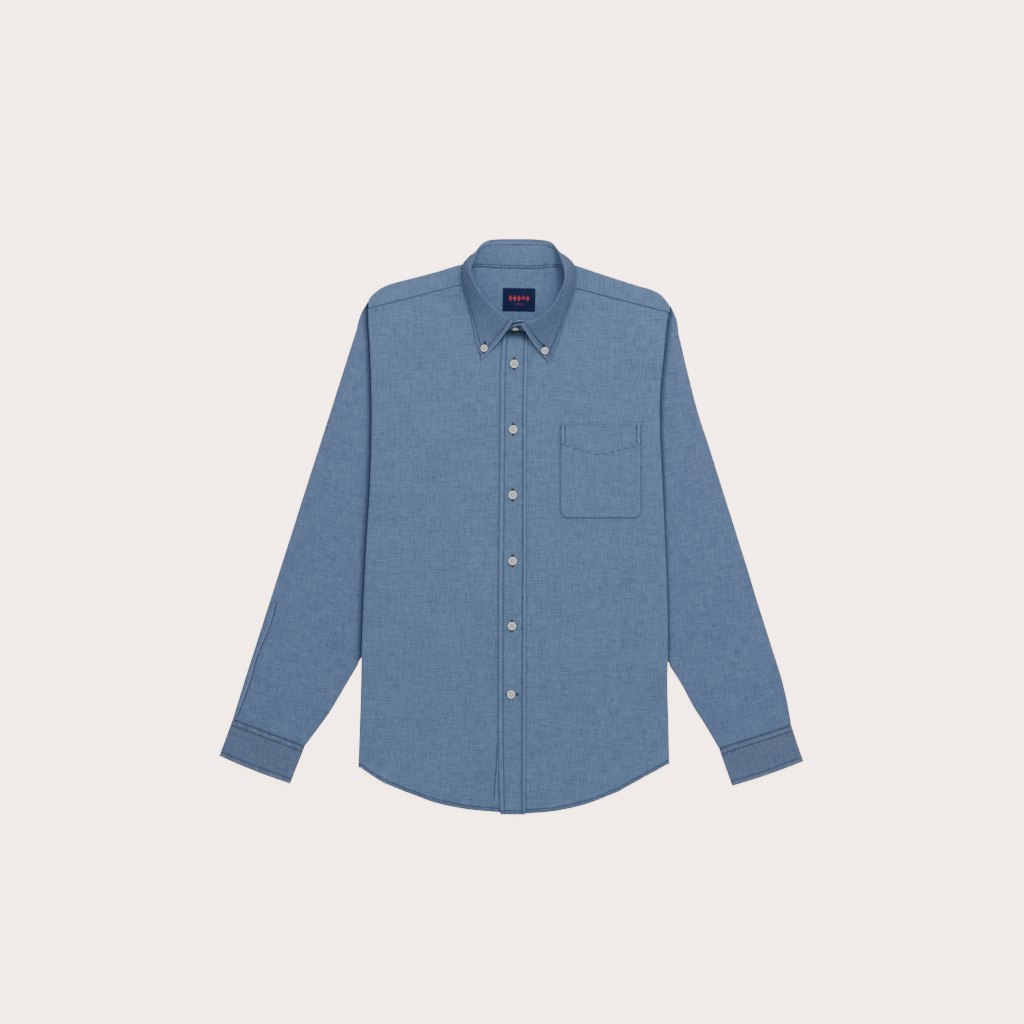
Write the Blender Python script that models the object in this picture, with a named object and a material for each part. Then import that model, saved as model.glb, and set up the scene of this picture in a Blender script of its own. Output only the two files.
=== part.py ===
"""Button-down chambray shirt, laid flat on its back on a surface.

Every panel is a thin wall. Left and right are the wearer's, so the right side lies at -X.
The collar points to +Y and the front faces +Z. The origin is on the surface, under the
middle of the shirt's box. All sizes below are in millimetres; finish_mesh turns them into metres.
"""
import math
from collections import namedtuple

import bmesh
import bpy
from mathutils import Vector

MM = 0.001

# --- cloth ---------------------------------------------------------------------------------
WALL = 1.0              # one panel of cloth
CUFF_WALL = 1.4         # two layers and a lining cloth
LABEL_WALL = 0.6
SEAM = 0.3              # clear gap between two pieces
FOLD = 2.2              # radius of a folded edge's outer side

# --- heights of the upper layer's outer side -----------------------------------------------
CENTRE_TOP = 2 * WALL + SEAM            # the right front lying on the back panel
EDGE_TOP = 2 * FOLD                     # above a side fold that rests on the surface
SLEEVE_TOP = 3.4                        # a flattened sleeve at its edges
OVER_SLEEVE_TOP = SLEEVE_TOP + SEAM + EDGE_TOP
OVERLAP_LIFT = WALL + SEAM              # the left front where it lies on the right front
SIDE_REACH = 110.0                      # the upper layer falls to the middle over this width
LIP = 24.0                              # cloth turned under at the side folds
ARMPIT_Y = -187.0
ARMPIT_RISE = (-245.0, -190.0)          # the side fold climbs onto the sleeve between these
SHOULDER_RISE = (205.0, 290.0)          # the upper layer climbs to the shoulder fold
OVERLAP_END = (26.0, 60.0)              # the left front comes down past the hidden edge
NECK_FALL = (275.0, 330.0)              # beside the neck the overlap's lift runs out

# --- outlines ------------------------------------------------------------------------------
Side = namedtuple("Side", "y right left")
SIDES = [                               # the two side folds
    Side(310.0, -200.5, 222.8),
    Side(286.0, -199.6, 217.4),
    Side(250.0, -197.4, 213.8),
    Side(192.0, -195.5, 208.3),
    Side(140.0, -195.1, 207.5),
    Side(60.0, -197.3, 211.2),
    Side(-20.0, -202.1, 214.8),
    Side(-90.0, -205.7, 217.5),
    Side(-160.0, -208.5, 218.8),
    Side(-223.0, -209.9, 218.2),
    Side(-271.0, -211.4, 219.6),
    Side(-336.0, -213.7, 221.0),
]
Hem = namedtuple("Hem", "reach right left")
HEM = [                                 # height of the tail's edge against the distance out
    Hem(0.0, -400.8, -402.4),
    Hem(60.0, -396.0, -398.3),
    Hem(105.0, -387.2, -388.5),
    Hem(150.0, -371.4, -371.4),
    Hem(178.0, -359.9, -355.8),
    Hem(200.0, -346.3, -343.8),
    Hem(221.0, -331.0, -332.0),
]
Placket = namedtuple("Placket", "y edge seam")
PLACKET = [                             # free edge and sewn edge of the button placket
    Placket(275.0, -11.4, 23.4),
    Placket(222.0, -14.9, 22.4),
    Placket(168.0, -15.6, 21.5),
    Placket(90.0, -16.3, 21.4),
    Placket(-103.0, -18.1, 21.2),
    Placket(-279.0, -18.1, 20.6),
    Placket(-318.0, -15.6, 20.3),
    Placket(-403.0, -15.3, 20.1),
]
HIDDEN_EDGE_X = 22.0                    # the right front's edge under the placket
HEM_CENTRE_Y = -402.0                   # the fronts' lowest point
HEM_SIDE_Y = -336.0                     # where the side folds meet the hem
BACK_HEM_INSET = 4.0                    # the back's tail stops short of the fronts'
BACK_WIDENS = (230.0, 275.3)            # the back panel spreads to the yoke seam's ends
YOKE_SEAM_Y = 275.3                     # seam between yoke and back panel
YOKE_SEAM_X = (-157.0, 178.0)           # its two ends at the armholes

Shoulder = namedtuple("Shoulder", "fold_x fold_y seam_x seam_y low_x")
SHOULDER_RIGHT = [                      # fold over the shoulder, seam on the front, seam behind
    Shoulder(-60.4, 369.2, -62.0, 339.6, -60.0),
    Shoulder(-77.0, 365.2, -78.0, 336.0, -74.0),
    Shoulder(-105.0, 356.6, -106.0, 328.9, -95.0),
    Shoulder(-138.9, 347.6, -139.0, 320.4, -118.0),
    Shoulder(-161.3, 341.9, -161.0, 314.8, -133.0),
    Shoulder(-176.0, 337.0, -175.0, 311.2, -143.0),
    Shoulder(-188.5, 329.6, -187.0, 308.2, -151.0),
    Shoulder(-198.6, 319.6, -199.6, 304.9, -157.0),
]
SHOULDER_LEFT = [
    Shoulder(79.6, 369.0, 84.0, 334.4, 78.0),
    Shoulder(93.0, 364.8, 99.0, 330.6, 92.0),
    Shoulder(118.0, 356.3, 122.0, 324.7, 113.0),
    Shoulder(150.0, 345.8, 152.0, 317.0, 135.0),
    Shoulder(178.0, 337.0, 176.0, 310.8, 152.0),
    Shoulder(194.0, 332.4, 194.0, 306.2, 163.0),
    Shoulder(209.0, 325.0, 208.0, 302.6, 171.0),
    Shoulder(221.0, 311.8, 221.6, 299.2, 178.0),
]
SHOULDER_FOLD_TOP = (EDGE_TOP, OVER_SLEEVE_TOP)     # height at the neck and at the armhole
SHOULDER_FOLD_RISE = (0.35, 1.0)                    # between these parts of the way out

Sleeve = namedtuple("Sleeve", "out_x out_y in_x in_y")
SLEEVE_RIGHT = [                        # sections from the outer edge to the underarm side
    Sleeve(-202.2, 312.8, -178.0, 291.9),
    Sleeve(-216.9, 275.1, -161.3, 252.7),
    Sleeve(-234.8, 219.1, -150.1, 189.7),
    Sleeve(-252.6, 163.1, -145.9, 126.7),
    Sleeve(-270.5, 107.1, -145.9, 62.3),
    Sleeve(-288.5, 51.1, -150.1, 2.1),
    Sleeve(-306.2, -4.9, -159.2, -56.7),
    Sleeve(-321.9, -53.9, -173.2, -108.5),
    Sleeve(-335.4, -95.9, -190.8, -151.9),
    Sleeve(-347.4, -133.7, -209.2, -184.8),
    Sleeve(-360.8, -175.7, -232.0, -223.3),
    Sleeve(-373.3, -214.9, -253.7, -259.7),
    Sleeve(-382.0, -243.4, -271.9, -284.9),
    Sleeve(-390.1, -269.5, -288.8, -307.6),
]
SLEEVE_LEFT = [
    Sleeve(224.4, 306.4, 197.0, 286.3),
    Sleeve(234.8, 268.1, 178.8, 247.1),
    Sleeve(247.4, 214.9, 164.8, 184.1),
    Sleeve(261.9, 158.9, 159.2, 121.1),
    Sleeve(278.7, 107.1, 159.2, 59.5),
    Sleeve(296.2, 51.1, 163.4, -0.7),
    Sleeve(313.9, -4.9, 172.5, -59.5),
    Sleeve(329.3, -53.9, 185.8, -111.3),
    Sleeve(342.6, -98.0, 201.2, -154.7),
    Sleeve(353.8, -133.7, 217.1, -187.7),
    Sleeve(366.4, -173.5, 237.6, -220.5),
    Sleeve(377.4, -208.4, 255.0, -252.7),
    Sleeve(386.0, -242.9, 271.9, -279.3),
    Sleeve(392.2, -277.9, 290.6, -310.9),
]
UNDERARM_ROW = 9                        # above this row the sleeve's inner side is its armhole
SLEEVE_EDGE = SLEEVE_TOP / 2            # radius of its folded edges
SLEEVE_BULGE = 2.0                      # the part beside the body lies a little fuller
BULGE_CLEAR = (4.0, 40.0)               # over this distance out from the body's edge
BULGE_ACROSS = (0.0, 0.25)              # over this part of the way across
BULGE_DOWN = (-270.0, -180.0)           # and it runs out towards the cuff

Cuff = namedtuple("Cuff", "out_x out_y in_x in_y")
CUFF_RIGHT = [
    Cuff(-390.3, -270.2, -288.9, -308.2),
    Cuff(-399.6, -295.8, -299.1, -334.2),
    Cuff(-408.9, -321.0, -309.2, -360.1),
]
CUFF_LEFT = [
    Cuff(392.4, -278.5, 290.7, -311.5),
    Cuff(400.8, -304.3, 299.9, -337.7),
    Cuff(409.2, -328.4, 308.9, -363.2),
]
CUFF_TOP = 4.8
CUFF_BOW = 1.6                          # the cuff's free edge swells by this much

Rib = namedtuple("Rib", "neck_x neck_y neck_z ridge_x ridge_y ridge_z edge_x edge_y edge_z")
COLLAR = [                              # ribs from the right tip round the back to the left tip
    Rib(-5.0, 275.4, 4.0, 1.6, 288.0, 26.0, -41.0, 233.4, 5.0),
    Rib(-24.1, 282.8, 3.4, -17.1, 301.0, 29.0, -50.0, 260.6, 5.2),
    Rib(-43.0, 298.9, 3.4, -33.2, 315.7, 32.0, -55.6, 287.7, 5.8),
    Rib(-55.6, 318.5, 3.4, -46.5, 332.5, 35.0, -62.6, 314.3, 6.4),
    Rib(-59.8, 339.5, 3.4, -56.3, 349.3, 37.0, -68.5, 339.5, 6.4),
    Rib(-59.1, 352.1, 3.2, -57.6, 361.9, 35.0, -69.4, 363.4, 6.6),
    Rib(-56.8, 360.5, 2.2, -51.4, 377.3, 26.0, -62.4, 375.1, 3.6),
    Rib(-51.4, 364.0, 1.4, -46.1, 390.0, 15.5, -52.0, 382.4, 0.4),
    Rib(-42.3, 363.9, 1.3, -35.8, 398.8, 9.5, -38.1, 373.6, 0.0),
    Rib(-19.9, 362.5, 1.3, -19.9, 401.2, 7.4, -19.9, 366.4, 0.0),
    Rib(6.6, 361.9, 1.3, 6.6, 401.6, 7.0, 6.6, 364.7, 0.0),
    Rib(33.2, 361.9, 1.3, 33.2, 401.2, 7.4, 33.2, 366.4, 0.0),
    Rib(58.4, 363.6, 1.3, 54.2, 398.2, 9.5, 54.9, 373.6, 0.0),
    Rib(68.9, 363.6, 1.4, 63.3, 390.0, 15.5, 69.6, 382.2, 0.4),
    Rib(74.5, 359.8, 2.2, 69.4, 375.9, 26.0, 82.0, 374.5, 3.6),
    Rib(78.4, 350.7, 3.2, 74.4, 360.5, 35.0, 89.6, 363.0, 6.6),
    Rib(80.1, 334.5, 3.4, 74.4, 343.7, 37.0, 90.4, 338.1, 6.4),
    Rib(74.5, 312.9, 3.6, 66.8, 325.5, 35.0, 85.0, 314.3, 6.4),
    Rib(62.6, 291.9, 3.6, 57.0, 308.7, 32.0, 76.6, 289.8, 5.8),
    Rib(41.6, 277.9, 4.0, 40.2, 293.3, 29.0, 68.2, 263.9, 5.4),
    Rib(19.0, 273.7, 6.0, 19.4, 286.9, 26.0, 52.6, 230.6, 5.4),
]
Tab = namedtuple("Tab", "neck_x neck_y neck_z top_x top_y top_z")
STAND_TAB_RIGHT = [                     # the stand goes on past the leaf: inner end
    Tab(27.0, 276.6, 4.0, 26.0, 280.0, 11.0),
    Tab(24.5, 276.3, 4.0, 24.0, 284.2, 17.5),
    Tab(18.0, 276.0, 4.0, 18.5, 286.4, 21.4),
    Tab(9.0, 275.7, 4.0, 11.5, 287.0, 22.4),
]
STAND_TAB_LEFT = [                      # and the outer end, which carries the stand's button
    Tab(12.0, 273.6, 6.2, 12.6, 283.2, 20.6),
    Tab(5.0, 273.4, 6.2, 5.2, 281.0, 19.0),
    Tab(-1.5, 273.4, 6.2, -1.0, 279.2, 16.2),
    Tab(-4.8, 273.6, 6.2, -4.2, 276.4, 11.0),
]
STAND_DEPTH = 4.4                       # the stand's seam lies this far below the ridge
NECK_CENTRE = (7.0, 318.0)
NECK_HEIGHT = 20.0                      # height of the point that the stand leans towards
NECK_CENTRE_DROP = 0.2                  # the neck edge drops this much to the centre edge
NECK_CLEARANCE = 0.9                    # its straight facets stay a seam's gap off the curved stand
LEAF_BOW = 3.2                          # the leaf's front edges swell by this much
BOW_RIBS = 1.6                          # and the swell dies out over this many ribs
LEAF_LEAN = (7.0, 30.0)                 # ridge heights from a flat collar to a standing one
LEAF_RISE = (13.0, 10.0)                # how far the leaf goes on up: flat, standing
LEAF_REACH = (0.9, 0.5)                 # where its fall begins, as a part of the way back
LEAF_LENGTH = (15.0, 65.0)              # the longest falls, at the tips, lie the lowest
LEAF_DROP = (0.6, 0.1)                  # height of the fall's start, short and long
LEAF_CROWD = 1.25                       # rows crowd towards the ridge by this power

# --- small pieces --------------------------------------------------------------------------
POCKET_X = (68.0, 182.6)
POCKET_Y = (11.5, 141.7)
POCKET_CORNER = 11.0
POCKET_STEP = 7
LABEL_X = (-11.8, 33.5)
LABEL_Y = (301.1, 333.6)
LABEL_TURN = math.radians(-1.0)

Button = namedtuple("Button", "name x y radius")
FRONT_BUTTONS = [
    Button("button_1", 4.1, 227.5, 5.75),
    Button("button_2", 2.7, 135.8, 5.75),
    Button("button_3", 2.0, 44.1, 5.75),
    Button("button_4", 1.9, -48.3, 5.75),
    Button("button_5", 1.0, -139.3, 5.75),
    Button("button_6", -0.2, -235.1, 5.75),
]
COLLAR_BUTTONS = [
    Button("button_collar_right", -37.6, 249.6, 5.0),
    Button("button_collar_left", 46.8, 246.1, 5.0),
]
STAND_BUTTON = Button("button_stand", 5.6, 276.6, 5.0)
BUTTON_THICK = 2.6
BUTTON_SHANK = 0.7                      # thread between the cloth and the button's plate
BUTTON_PROFILE = [                      # part of its radius, part of its thickness
    (0.0, 0.0),
    (0.72, 0.0),
    (1.0, 0.45),
    (0.96, 0.85),
    (0.80, 1.0),
    (0.58, 0.69),
    (0.0, 0.69),
]
STAND_BUTTON_HEIGHT = 0.55              # part of the way up the stand's outer end
SEAT_STEPS = 8                          # steps to a rib when a button's seat is looked for

SleevePlacket = namedtuple("SleevePlacket", "y line")
SLEEVE_PLACKET = [                      # its sewn line on the right sleeve
    SleevePlacket(-107.1, -327.9),
    SleevePlacket(-140.0, -337.6),
    SleevePlacket(-182.7, -354.8),
    SleevePlacket(-217.7, -364.9),
    SleevePlacket(-264.0, -382.4),
]
SLEEVE_PLACKET_TILT = 0.5               # it lies higher over the fuller part of the sleeve

# --- mesh density --------------------------------------------------------------------------
FRONT_ROWS = 20
BACK_ROWS = 14
BACK_COLUMNS = 8
EDGE_ROUNDS = 3                         # an edge point's x and y are settled in this many turns
YOKE_LOW_ROWS = 4
YOKE_MIDDLE = 12
YOKE_SIDE = 10
NECK_COLUMNS = 8
SHOULDER_COLUMNS = 8
FOLD_STEPS = 5
SLEEVE_ROWS = 18
SLEEVE_COLUMNS = 6
CUFF_ROWS = 4
CUFF_COLUMNS = 8
SLEEVE_PLACKET_ROWS = 10
EDGE_STEPS = 4
COLLAR_STEPS = 44
LEAF_ROWS = 8
STAND_ROWS = 4
BUTTON_SIDES = 16

# --- colours -------------------------------------------------------------------------------
CHAMBRAY = (0.128, 0.205, 0.314, 1.0)
CHAMBRAY_SLEEVE = (0.120, 0.190, 0.300, 1.0)
PEARL = (0.72, 0.68, 0.60, 1.0)
NAVY = (0.012, 0.020, 0.058, 1.0)


def remove_everything():
    for old in list(bpy.data.objects):
        bpy.data.objects.remove(old, do_unlink=True)


# --- arithmetic ----------------------------------------------------------------------------
def ramp(value, low, high):
    """Smooth step from 0 at low to 1 at high."""
    t = min(1.0, max(0.0, (value - low) / (high - low)))
    return t * t * (3.0 - 2.0 * t)


def mix(a, b, t):
    return a + (b - a) * t


def smooth_through(values, at):
    """Read a smooth curve through evenly numbered values at a fractional index."""
    last = len(values) - 1
    i = min(last - 1, max(0, int(at)))
    t = at - i
    p1, p2 = values[i], values[i + 1]
    p0 = values[i - 1] if i > 0 else 2 * p1 - p2
    p3 = values[i + 2] if i + 2 <= last else 2 * p2 - p1
    return 0.5 * (2 * p1 + (p2 - p0) * t + (2 * p0 - 5 * p1 + 4 * p2 - p3) * t * t
                  + (3 * p1 - p0 - 3 * p2 + p3) * t ** 3)


def smooth_row(rows, at):
    """The table row at a fractional row number."""
    return type(rows[0])(*(smooth_through(column, at) for column in zip(*rows)))


def read_table(rows, key, value, at):
    """Value of one column where the first-named column equals at, keys rising or falling."""
    keys = [getattr(row, key) for row in rows]
    values = [getattr(row, value) for row in rows]
    if keys[0] > keys[-1]:
        keys.reverse()
        values.reverse()
    at = min(keys[-1], max(keys[0], at))
    i = max(k for k in range(len(keys) - 1) if keys[k] <= at)
    return smooth_through(values, i + (at - keys[i]) / (keys[i + 1] - keys[i]))


# --- the body's outline and height ---------------------------------------------------------
def side_x(y, side):
    return read_table(SIDES, "y", side, y)


def hem_y(x, side):
    return read_table(HEM, "reach", side, abs(x))


def side_top(y):
    """Height of a side fold: on the surface below the armpit, on the sleeve above it."""
    return mix(EDGE_TOP, OVER_SLEEVE_TOP, ramp(y, *ARMPIT_RISE))


def body_top(x, y, side):
    """Height of the upper layer's outer side over one half of the body."""
    middle = mix(CENTRE_TOP, EDGE_TOP, ramp(y, *SHOULDER_RISE))
    if side == "left":
        middle += OVERLAP_LIFT * (1.0 - ramp(x, *OVERLAP_END)) * (1.0 - ramp(y, *NECK_FALL))
    inside = abs(side_x(y, side) - x)
    return mix(middle, side_top(y), 1.0 - ramp(inside, FOLD, SIDE_REACH))


# --- building meshes -----------------------------------------------------------------------
def material(name, colour, roughness):
    made = bpy.data.materials.new(name)
    made.use_nodes = True
    shader = made.node_tree.nodes["Principled BSDF"]
    shader.inputs["Base Color"].default_value = colour
    shader.inputs["Roughness"].default_value = roughness
    shader.inputs["Metallic"].default_value = 0.0
    made.diffuse_color = colour
    return made


def finish_mesh(name, bm, colour, roughness=0.9):
    """Turn a bmesh in millimetres into an object in metres."""
    bmesh.ops.scale(bm, vec=(MM, MM, MM), verts=bm.verts)
    mesh = bpy.data.meshes.new(name)
    bm.to_mesh(mesh)
    bm.free()
    mesh.shade_smooth()
    mesh.set_sharp_from_angle(angle=math.radians(50))
    made = bpy.data.objects.new(name, mesh)
    bpy.context.scene.collection.objects.link(made)
    made.data.materials.append(material(name, colour, roughness))
    return made


def grid_faces(bm, grid, closed=False, skip=None):
    """Join rows of points into quads; closed joins each row's last point to its first."""
    rows = [[bm.verts.new(point) for point in row] for row in grid]
    for i, (row, following) in enumerate(zip(rows, rows[1:])):
        count = len(row)
        for j in range(count if closed else count - 1):
            if skip and skip(i, j):
                continue
            k = (j + 1) % count
            bm.faces.new((row[j], row[k], following[k], following[j]))


def cloth(name, grid, up=True, wall=WALL, colour=CHAMBRAY, closed=False, skip=None, probe=0):
    """A wall whose outer side is the grid; up says whether the probe face looks to +Z."""
    bm = bmesh.new()
    grid_faces(bm, grid, closed, skip)
    bmesh.ops.delete(bm, geom=[v for v in bm.verts if not v.link_faces], context="VERTS")
    bmesh.ops.recalc_face_normals(bm, faces=bm.faces)
    bm.faces.ensure_lookup_table()
    bm.normal_update()
    if (bm.faces[probe].normal.z > 0) != up:
        bmesh.ops.reverse_faces(bm, faces=bm.faces)
    made = finish_mesh(name, bm, colour)
    thick = made.modifiers.new("wall", "SOLIDIFY")
    thick.thickness = wall * MM
    thick.offset = -1.0
    thick.use_even_offset = True
    thick.use_quality_normals = True
    return made


def patch(top, bottom, first, last, u, v):
    """Blend four edge curves into one point in plan; u runs across and v runs down."""
    x = mix(top(u)[0], bottom(u)[0], v) + mix(first(v)[0], last(v)[0], u)
    y = mix(top(u)[1], bottom(u)[1], v) + mix(first(v)[1], last(v)[1], u)
    corner_x = mix(mix(top(0)[0], top(1)[0], u), mix(bottom(0)[0], bottom(1)[0], u), v)
    corner_y = mix(mix(top(0)[1], top(1)[1], u), mix(bottom(0)[1], bottom(1)[1], u), v)
    return x - corner_x, y - corner_y


# --- fronts --------------------------------------------------------------------------------
def outside_neck(x, y):
    """A panel's neck edge, just outside the stand."""
    away = Vector((x - NECK_CENTRE[0], y - NECK_CENTRE[1]))
    moved = away + away.normalized() * NECK_CLEARANCE
    return moved.x + NECK_CENTRE[0], moved.y + NECK_CENTRE[1]


def neck_points(side):
    """Plan points of one front's neck edge, from its centre edge to just past the shoulder seam."""
    ribs = COLLAR[:6] if side == "right" else list(reversed(COLLAR[-6:]))
    points = [outside_neck(rib.neck_x, rib.neck_y) for rib in ribs]
    centre_x = HIDDEN_EDGE_X if side == "right" else PLACKET[0].edge
    return [(centre_x, points[0][1] - NECK_CENTRE_DROP)] + points


def neck_edge(side, t):
    """The neck edge of one front, from its centre edge (0) to the shoulder seam (1)."""
    points = neck_points(side)
    at = t * (len(points) - 2)
    return tuple(smooth_through([point[axis] for point in points], at) for axis in (0, 1))


def front_top(side, u):
    """Upper edge of a front: along the centre, round the neck, out to the armhole."""
    shoulder = SHOULDER_RIGHT if side == "right" else SHOULDER_LEFT
    neck_part = NECK_COLUMNS / (NECK_COLUMNS + SHOULDER_COLUMNS)
    if u <= neck_part:
        return neck_edge(side, u / neck_part)
    t = (u - neck_part) / (1.0 - neck_part)
    row = smooth_row(shoulder, t * (len(shoulder) - 1))
    end = shoulder[-1]
    inward = FOLD if side == "right" else -FOLD
    to_fold = side_x(end.seam_y, side) + inward - end.seam_x
    return row.seam_x + to_fold * t, row.seam_y - SEAM / 2


def front_point(side, centre_x, u, v):
    """A front's plan position for u across (0 centre, 1 side fold) and v down."""
    top_y = front_top(side, 0.0)[1]
    side_start = front_top(side, 1.0)
    side_end_y = hem_y(side_x(HEM_SIDE_Y, side), side)
    start_hem = hem_y(centre_x(HEM_CENTRE_Y), side)

    def top(s):
        return front_top(side, s)

    def centre(t):
        y = mix(top_y, start_hem, t)
        return centre_x(y), y

    def fold(t):
        y = mix(side_start[1], side_end_y, t)
        inset = FOLD if side == "right" else -FOLD
        return side_x(y, side) + inset, y

    def hem(s):
        x = mix(centre_x(HEM_CENTRE_Y), fold(1.0)[0], s)
        return x, hem_y(x, side)

    return patch(top, hem, centre, fold, u, v)


def front_grid(side, centre_x):
    outward = -1.0 if side == "right" else 1.0
    columns = NECK_COLUMNS + SHOULDER_COLUMNS
    grid = []
    for i in range(FRONT_ROWS + 1):
        v = i / FRONT_ROWS
        row = []
        for j in range(columns + 1):
            x, y = front_point(side, centre_x, j / columns, v)
            row.append((x, y, body_top(x, y, side)))
        x, y, z = row[-1]
        for k in range(1, FOLD_STEPS + 1):
            angle = math.pi * k / FOLD_STEPS
            row.append((x + outward * FOLD * math.sin(angle), y, z - FOLD + FOLD * math.cos(angle)))
        row.append((x - outward * LIP, y, z - 2 * FOLD))
        grid.append(row)
    return grid


def placket_edge(y):
    return read_table(PLACKET, "y", "edge", y)


def placket_seam(y):
    return read_table(PLACKET, "y", "seam", y)


def hidden_edge(y):
    return HIDDEN_EDGE_X


def build_fronts():
    cloth("front_right", front_grid("right", hidden_edge))
    cloth("front_left", front_grid("left", placket_edge))


def on_front(x, y, lift=WALL + SEAM):
    """A point on a piece that lies on the left front."""
    return x, y, body_top(x, y, "left") + lift


def build_placket():
    grid = []
    top_y = neck_edge("left", 0.0)[1]
    for i in range(FRONT_ROWS + 1):
        y = mix(top_y, hem_y(0.0, "left"), i / FRONT_ROWS)
        edge, seam = placket_edge(y), placket_seam(y)
        grid.append([on_front(mix(edge, seam, j / 2), y) for j in range(3)])
    cloth("placket", grid)


def build_pocket():
    grid = []
    steps = POCKET_STEP
    for i in range(steps + 1):
        y = mix(POCKET_Y[1], POCKET_Y[0] + POCKET_CORNER, i / steps)
        grid.append([on_front(mix(*POCKET_X, j / steps), y) for j in range(steps + 1)])
    for angle in (math.radians(30), math.radians(60), math.radians(90)):
        inset = POCKET_CORNER * (1.0 - math.cos(angle))
        y = POCKET_Y[0] + POCKET_CORNER * (1.0 - math.sin(angle))
        left, right = POCKET_X[0] + inset, POCKET_X[1] - inset
        grid.append([on_front(mix(left, right, j / steps), y) for j in range(steps + 1)])
    cloth("pocket", grid)


# --- back and yoke -------------------------------------------------------------------------
def armhole_edge(side, y):
    """X of the back panel's edge: beside the turned-under front, or beside the sleeve."""
    inward = 1.0 if side == "right" else -1.0
    beside_lip = side_x(y, side) + inward * (FOLD + LIP + SEAM)
    if y < ARMPIT_RISE[1]:
        return beside_lip
    table = SLEEVE_RIGHT if side == "right" else SLEEVE_LEFT
    beside_sleeve = read_table(table, "in_y", "in_x", y) + inward * 2 * SEAM
    seam_end = YOKE_SEAM_X[0] if side == "right" else YOKE_SEAM_X[1]
    pick = max if side == "right" else min
    return mix(pick(beside_lip, beside_sleeve), seam_end, ramp(y, *BACK_WIDENS))


def build_back():
    grid = []
    for i in range(BACK_ROWS + 1):
        row = []
        for j in range(BACK_COLUMNS + 1):
            u = j / BACK_COLUMNS
            y = YOKE_SEAM_Y
            for _ in range(EDGE_ROUNDS):
                x = mix(armhole_edge("right", y), armhole_edge("left", y), u)
                low = hem_y(x, "right" if x < 0 else "left") + BACK_HEM_INSET
                y = mix(YOKE_SEAM_Y - SEAM, low, i / BACK_ROWS)
            row.append((x, y, 0.0))
        grid.append(row)
    cloth("back", grid, up=False)


def yoke_column(row, t, side):
    """Profile from the back seam, under the shoulder, round its fold, to the front seam."""
    top = mix(*SHOULDER_FOLD_TOP, ramp(t, *SHOULDER_FOLD_RISE))
    radius = top / 2
    fold = Vector((row.fold_x, row.fold_y))
    seam = Vector((row.seam_x, row.seam_y + SEAM / 2))
    low = Vector((row.low_x, YOKE_SEAM_Y))
    in_low = fold + (low - fold).normalized() * radius
    in_top = fold + (seam - fold).normalized() * radius
    points = []
    for k in range(YOKE_LOW_ROWS + 1):
        flat = low.lerp(in_low, k / YOKE_LOW_ROWS)
        points.append((flat.x, flat.y, 0.0))
    for k in range(1, FOLD_STEPS):
        angle = math.pi * k / FOLD_STEPS
        centre = in_low.lerp(in_top, k / FOLD_STEPS)
        edge = centre.lerp(fold, math.sin(angle))
        points.append((edge.x, edge.y, radius - radius * math.cos(angle)))
    for k in range(3):
        flat = in_top.lerp(seam, k / 2)
        height = mix(top, body_top(seam.x, seam.y, side), k / 2)
        points.append((flat.x, flat.y, height))
    return points


def build_yoke():
    bm = bmesh.new()
    sides = []
    for side, table in (("right", SHOULDER_RIGHT), ("left", SHOULDER_LEFT)):
        columns = []
        for j in range(YOKE_SIDE + 1):
            t = j / YOKE_SIDE
            columns.append(yoke_column(smooth_row(table, t * (len(table) - 1)), t, side))
        grid_faces(bm, columns)
        sides.append(columns[0][:YOKE_LOW_ROWS + 1])
    between = []
    back_ribs = COLLAR[7:14]
    for j in range(YOKE_MIDDLE + 1):
        t = j / YOKE_MIDDLE
        rib = smooth_row(back_ribs, t * (len(back_ribs) - 1))
        low_x = mix(sides[0][0][0], sides[1][0][0], t)
        column = []
        for k in range(YOKE_LOW_ROWS + 1):
            x = mix(low_x, rib.neck_x, k / YOKE_LOW_ROWS)
            y = mix(YOKE_SEAM_Y, rib.neck_y, k / YOKE_LOW_ROWS)
            column.append((x, y, 0.0))
        between.append(column)
    between[0], between[-1] = sides
    grid_faces(bm, between)
    bmesh.ops.remove_doubles(bm, verts=bm.verts, dist=0.01)
    bmesh.ops.recalc_face_normals(bm, faces=bm.faces)
    flat = min(bm.faces, key=lambda face: face.calc_center_median().y)
    if flat.normal.z > 0:
        bmesh.ops.reverse_faces(bm, faces=bm.faces)
    made = finish_mesh("yoke", bm, CHAMBRAY)
    thick = made.modifiers.new("wall", "SOLIDIFY")
    thick.thickness = WALL * MM
    thick.offset = -1.0
    thick.use_even_offset = True


# --- sleeves and cuffs ---------------------------------------------------------------------
def flat_ring(outer, inner, top, bulge, columns):
    """Section of a flattened tube: bottom, outer edge, top, inner edge."""
    radius = top / 2
    across = (inner - outer).normalized()
    start, end = outer + across * radius, inner - across * radius
    points = []
    for j in range(columns + 1):
        flat = end.lerp(start, j / columns)
        points.append((flat.x, flat.y, 0.0))
    for k in range(1, EDGE_STEPS):
        angle = math.pi * k / EDGE_STEPS
        edge = start - across * radius * math.sin(angle)
        points.append((edge.x, edge.y, radius - radius * math.cos(angle)))
    for j in range(columns + 1):
        flat = start.lerp(end, j / columns)
        points.append((flat.x, flat.y, top + bulge(j / columns)))
    for k in range(1, EDGE_STEPS):
        angle = math.pi * k / EDGE_STEPS
        edge = end + across * radius * math.sin(angle)
        points.append((edge.x, edge.y, radius + radius * math.cos(angle)))
    return points


def sleeve_bulge(row, side, u):
    """Extra height of the sleeve beside the body, none where the body lies on it."""
    x = mix(row.out_x, row.in_x, u)
    y = mix(row.out_y, row.in_y, u)
    covered = side_x(y, side) if y > ARMPIT_Y else row.in_x
    clear = ramp(abs(x) - abs(covered), *BULGE_CLEAR)
    return SLEEVE_BULGE * clear * ramp(u, *BULGE_ACROSS) * ramp(row.out_y, *BULGE_DOWN)


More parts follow.
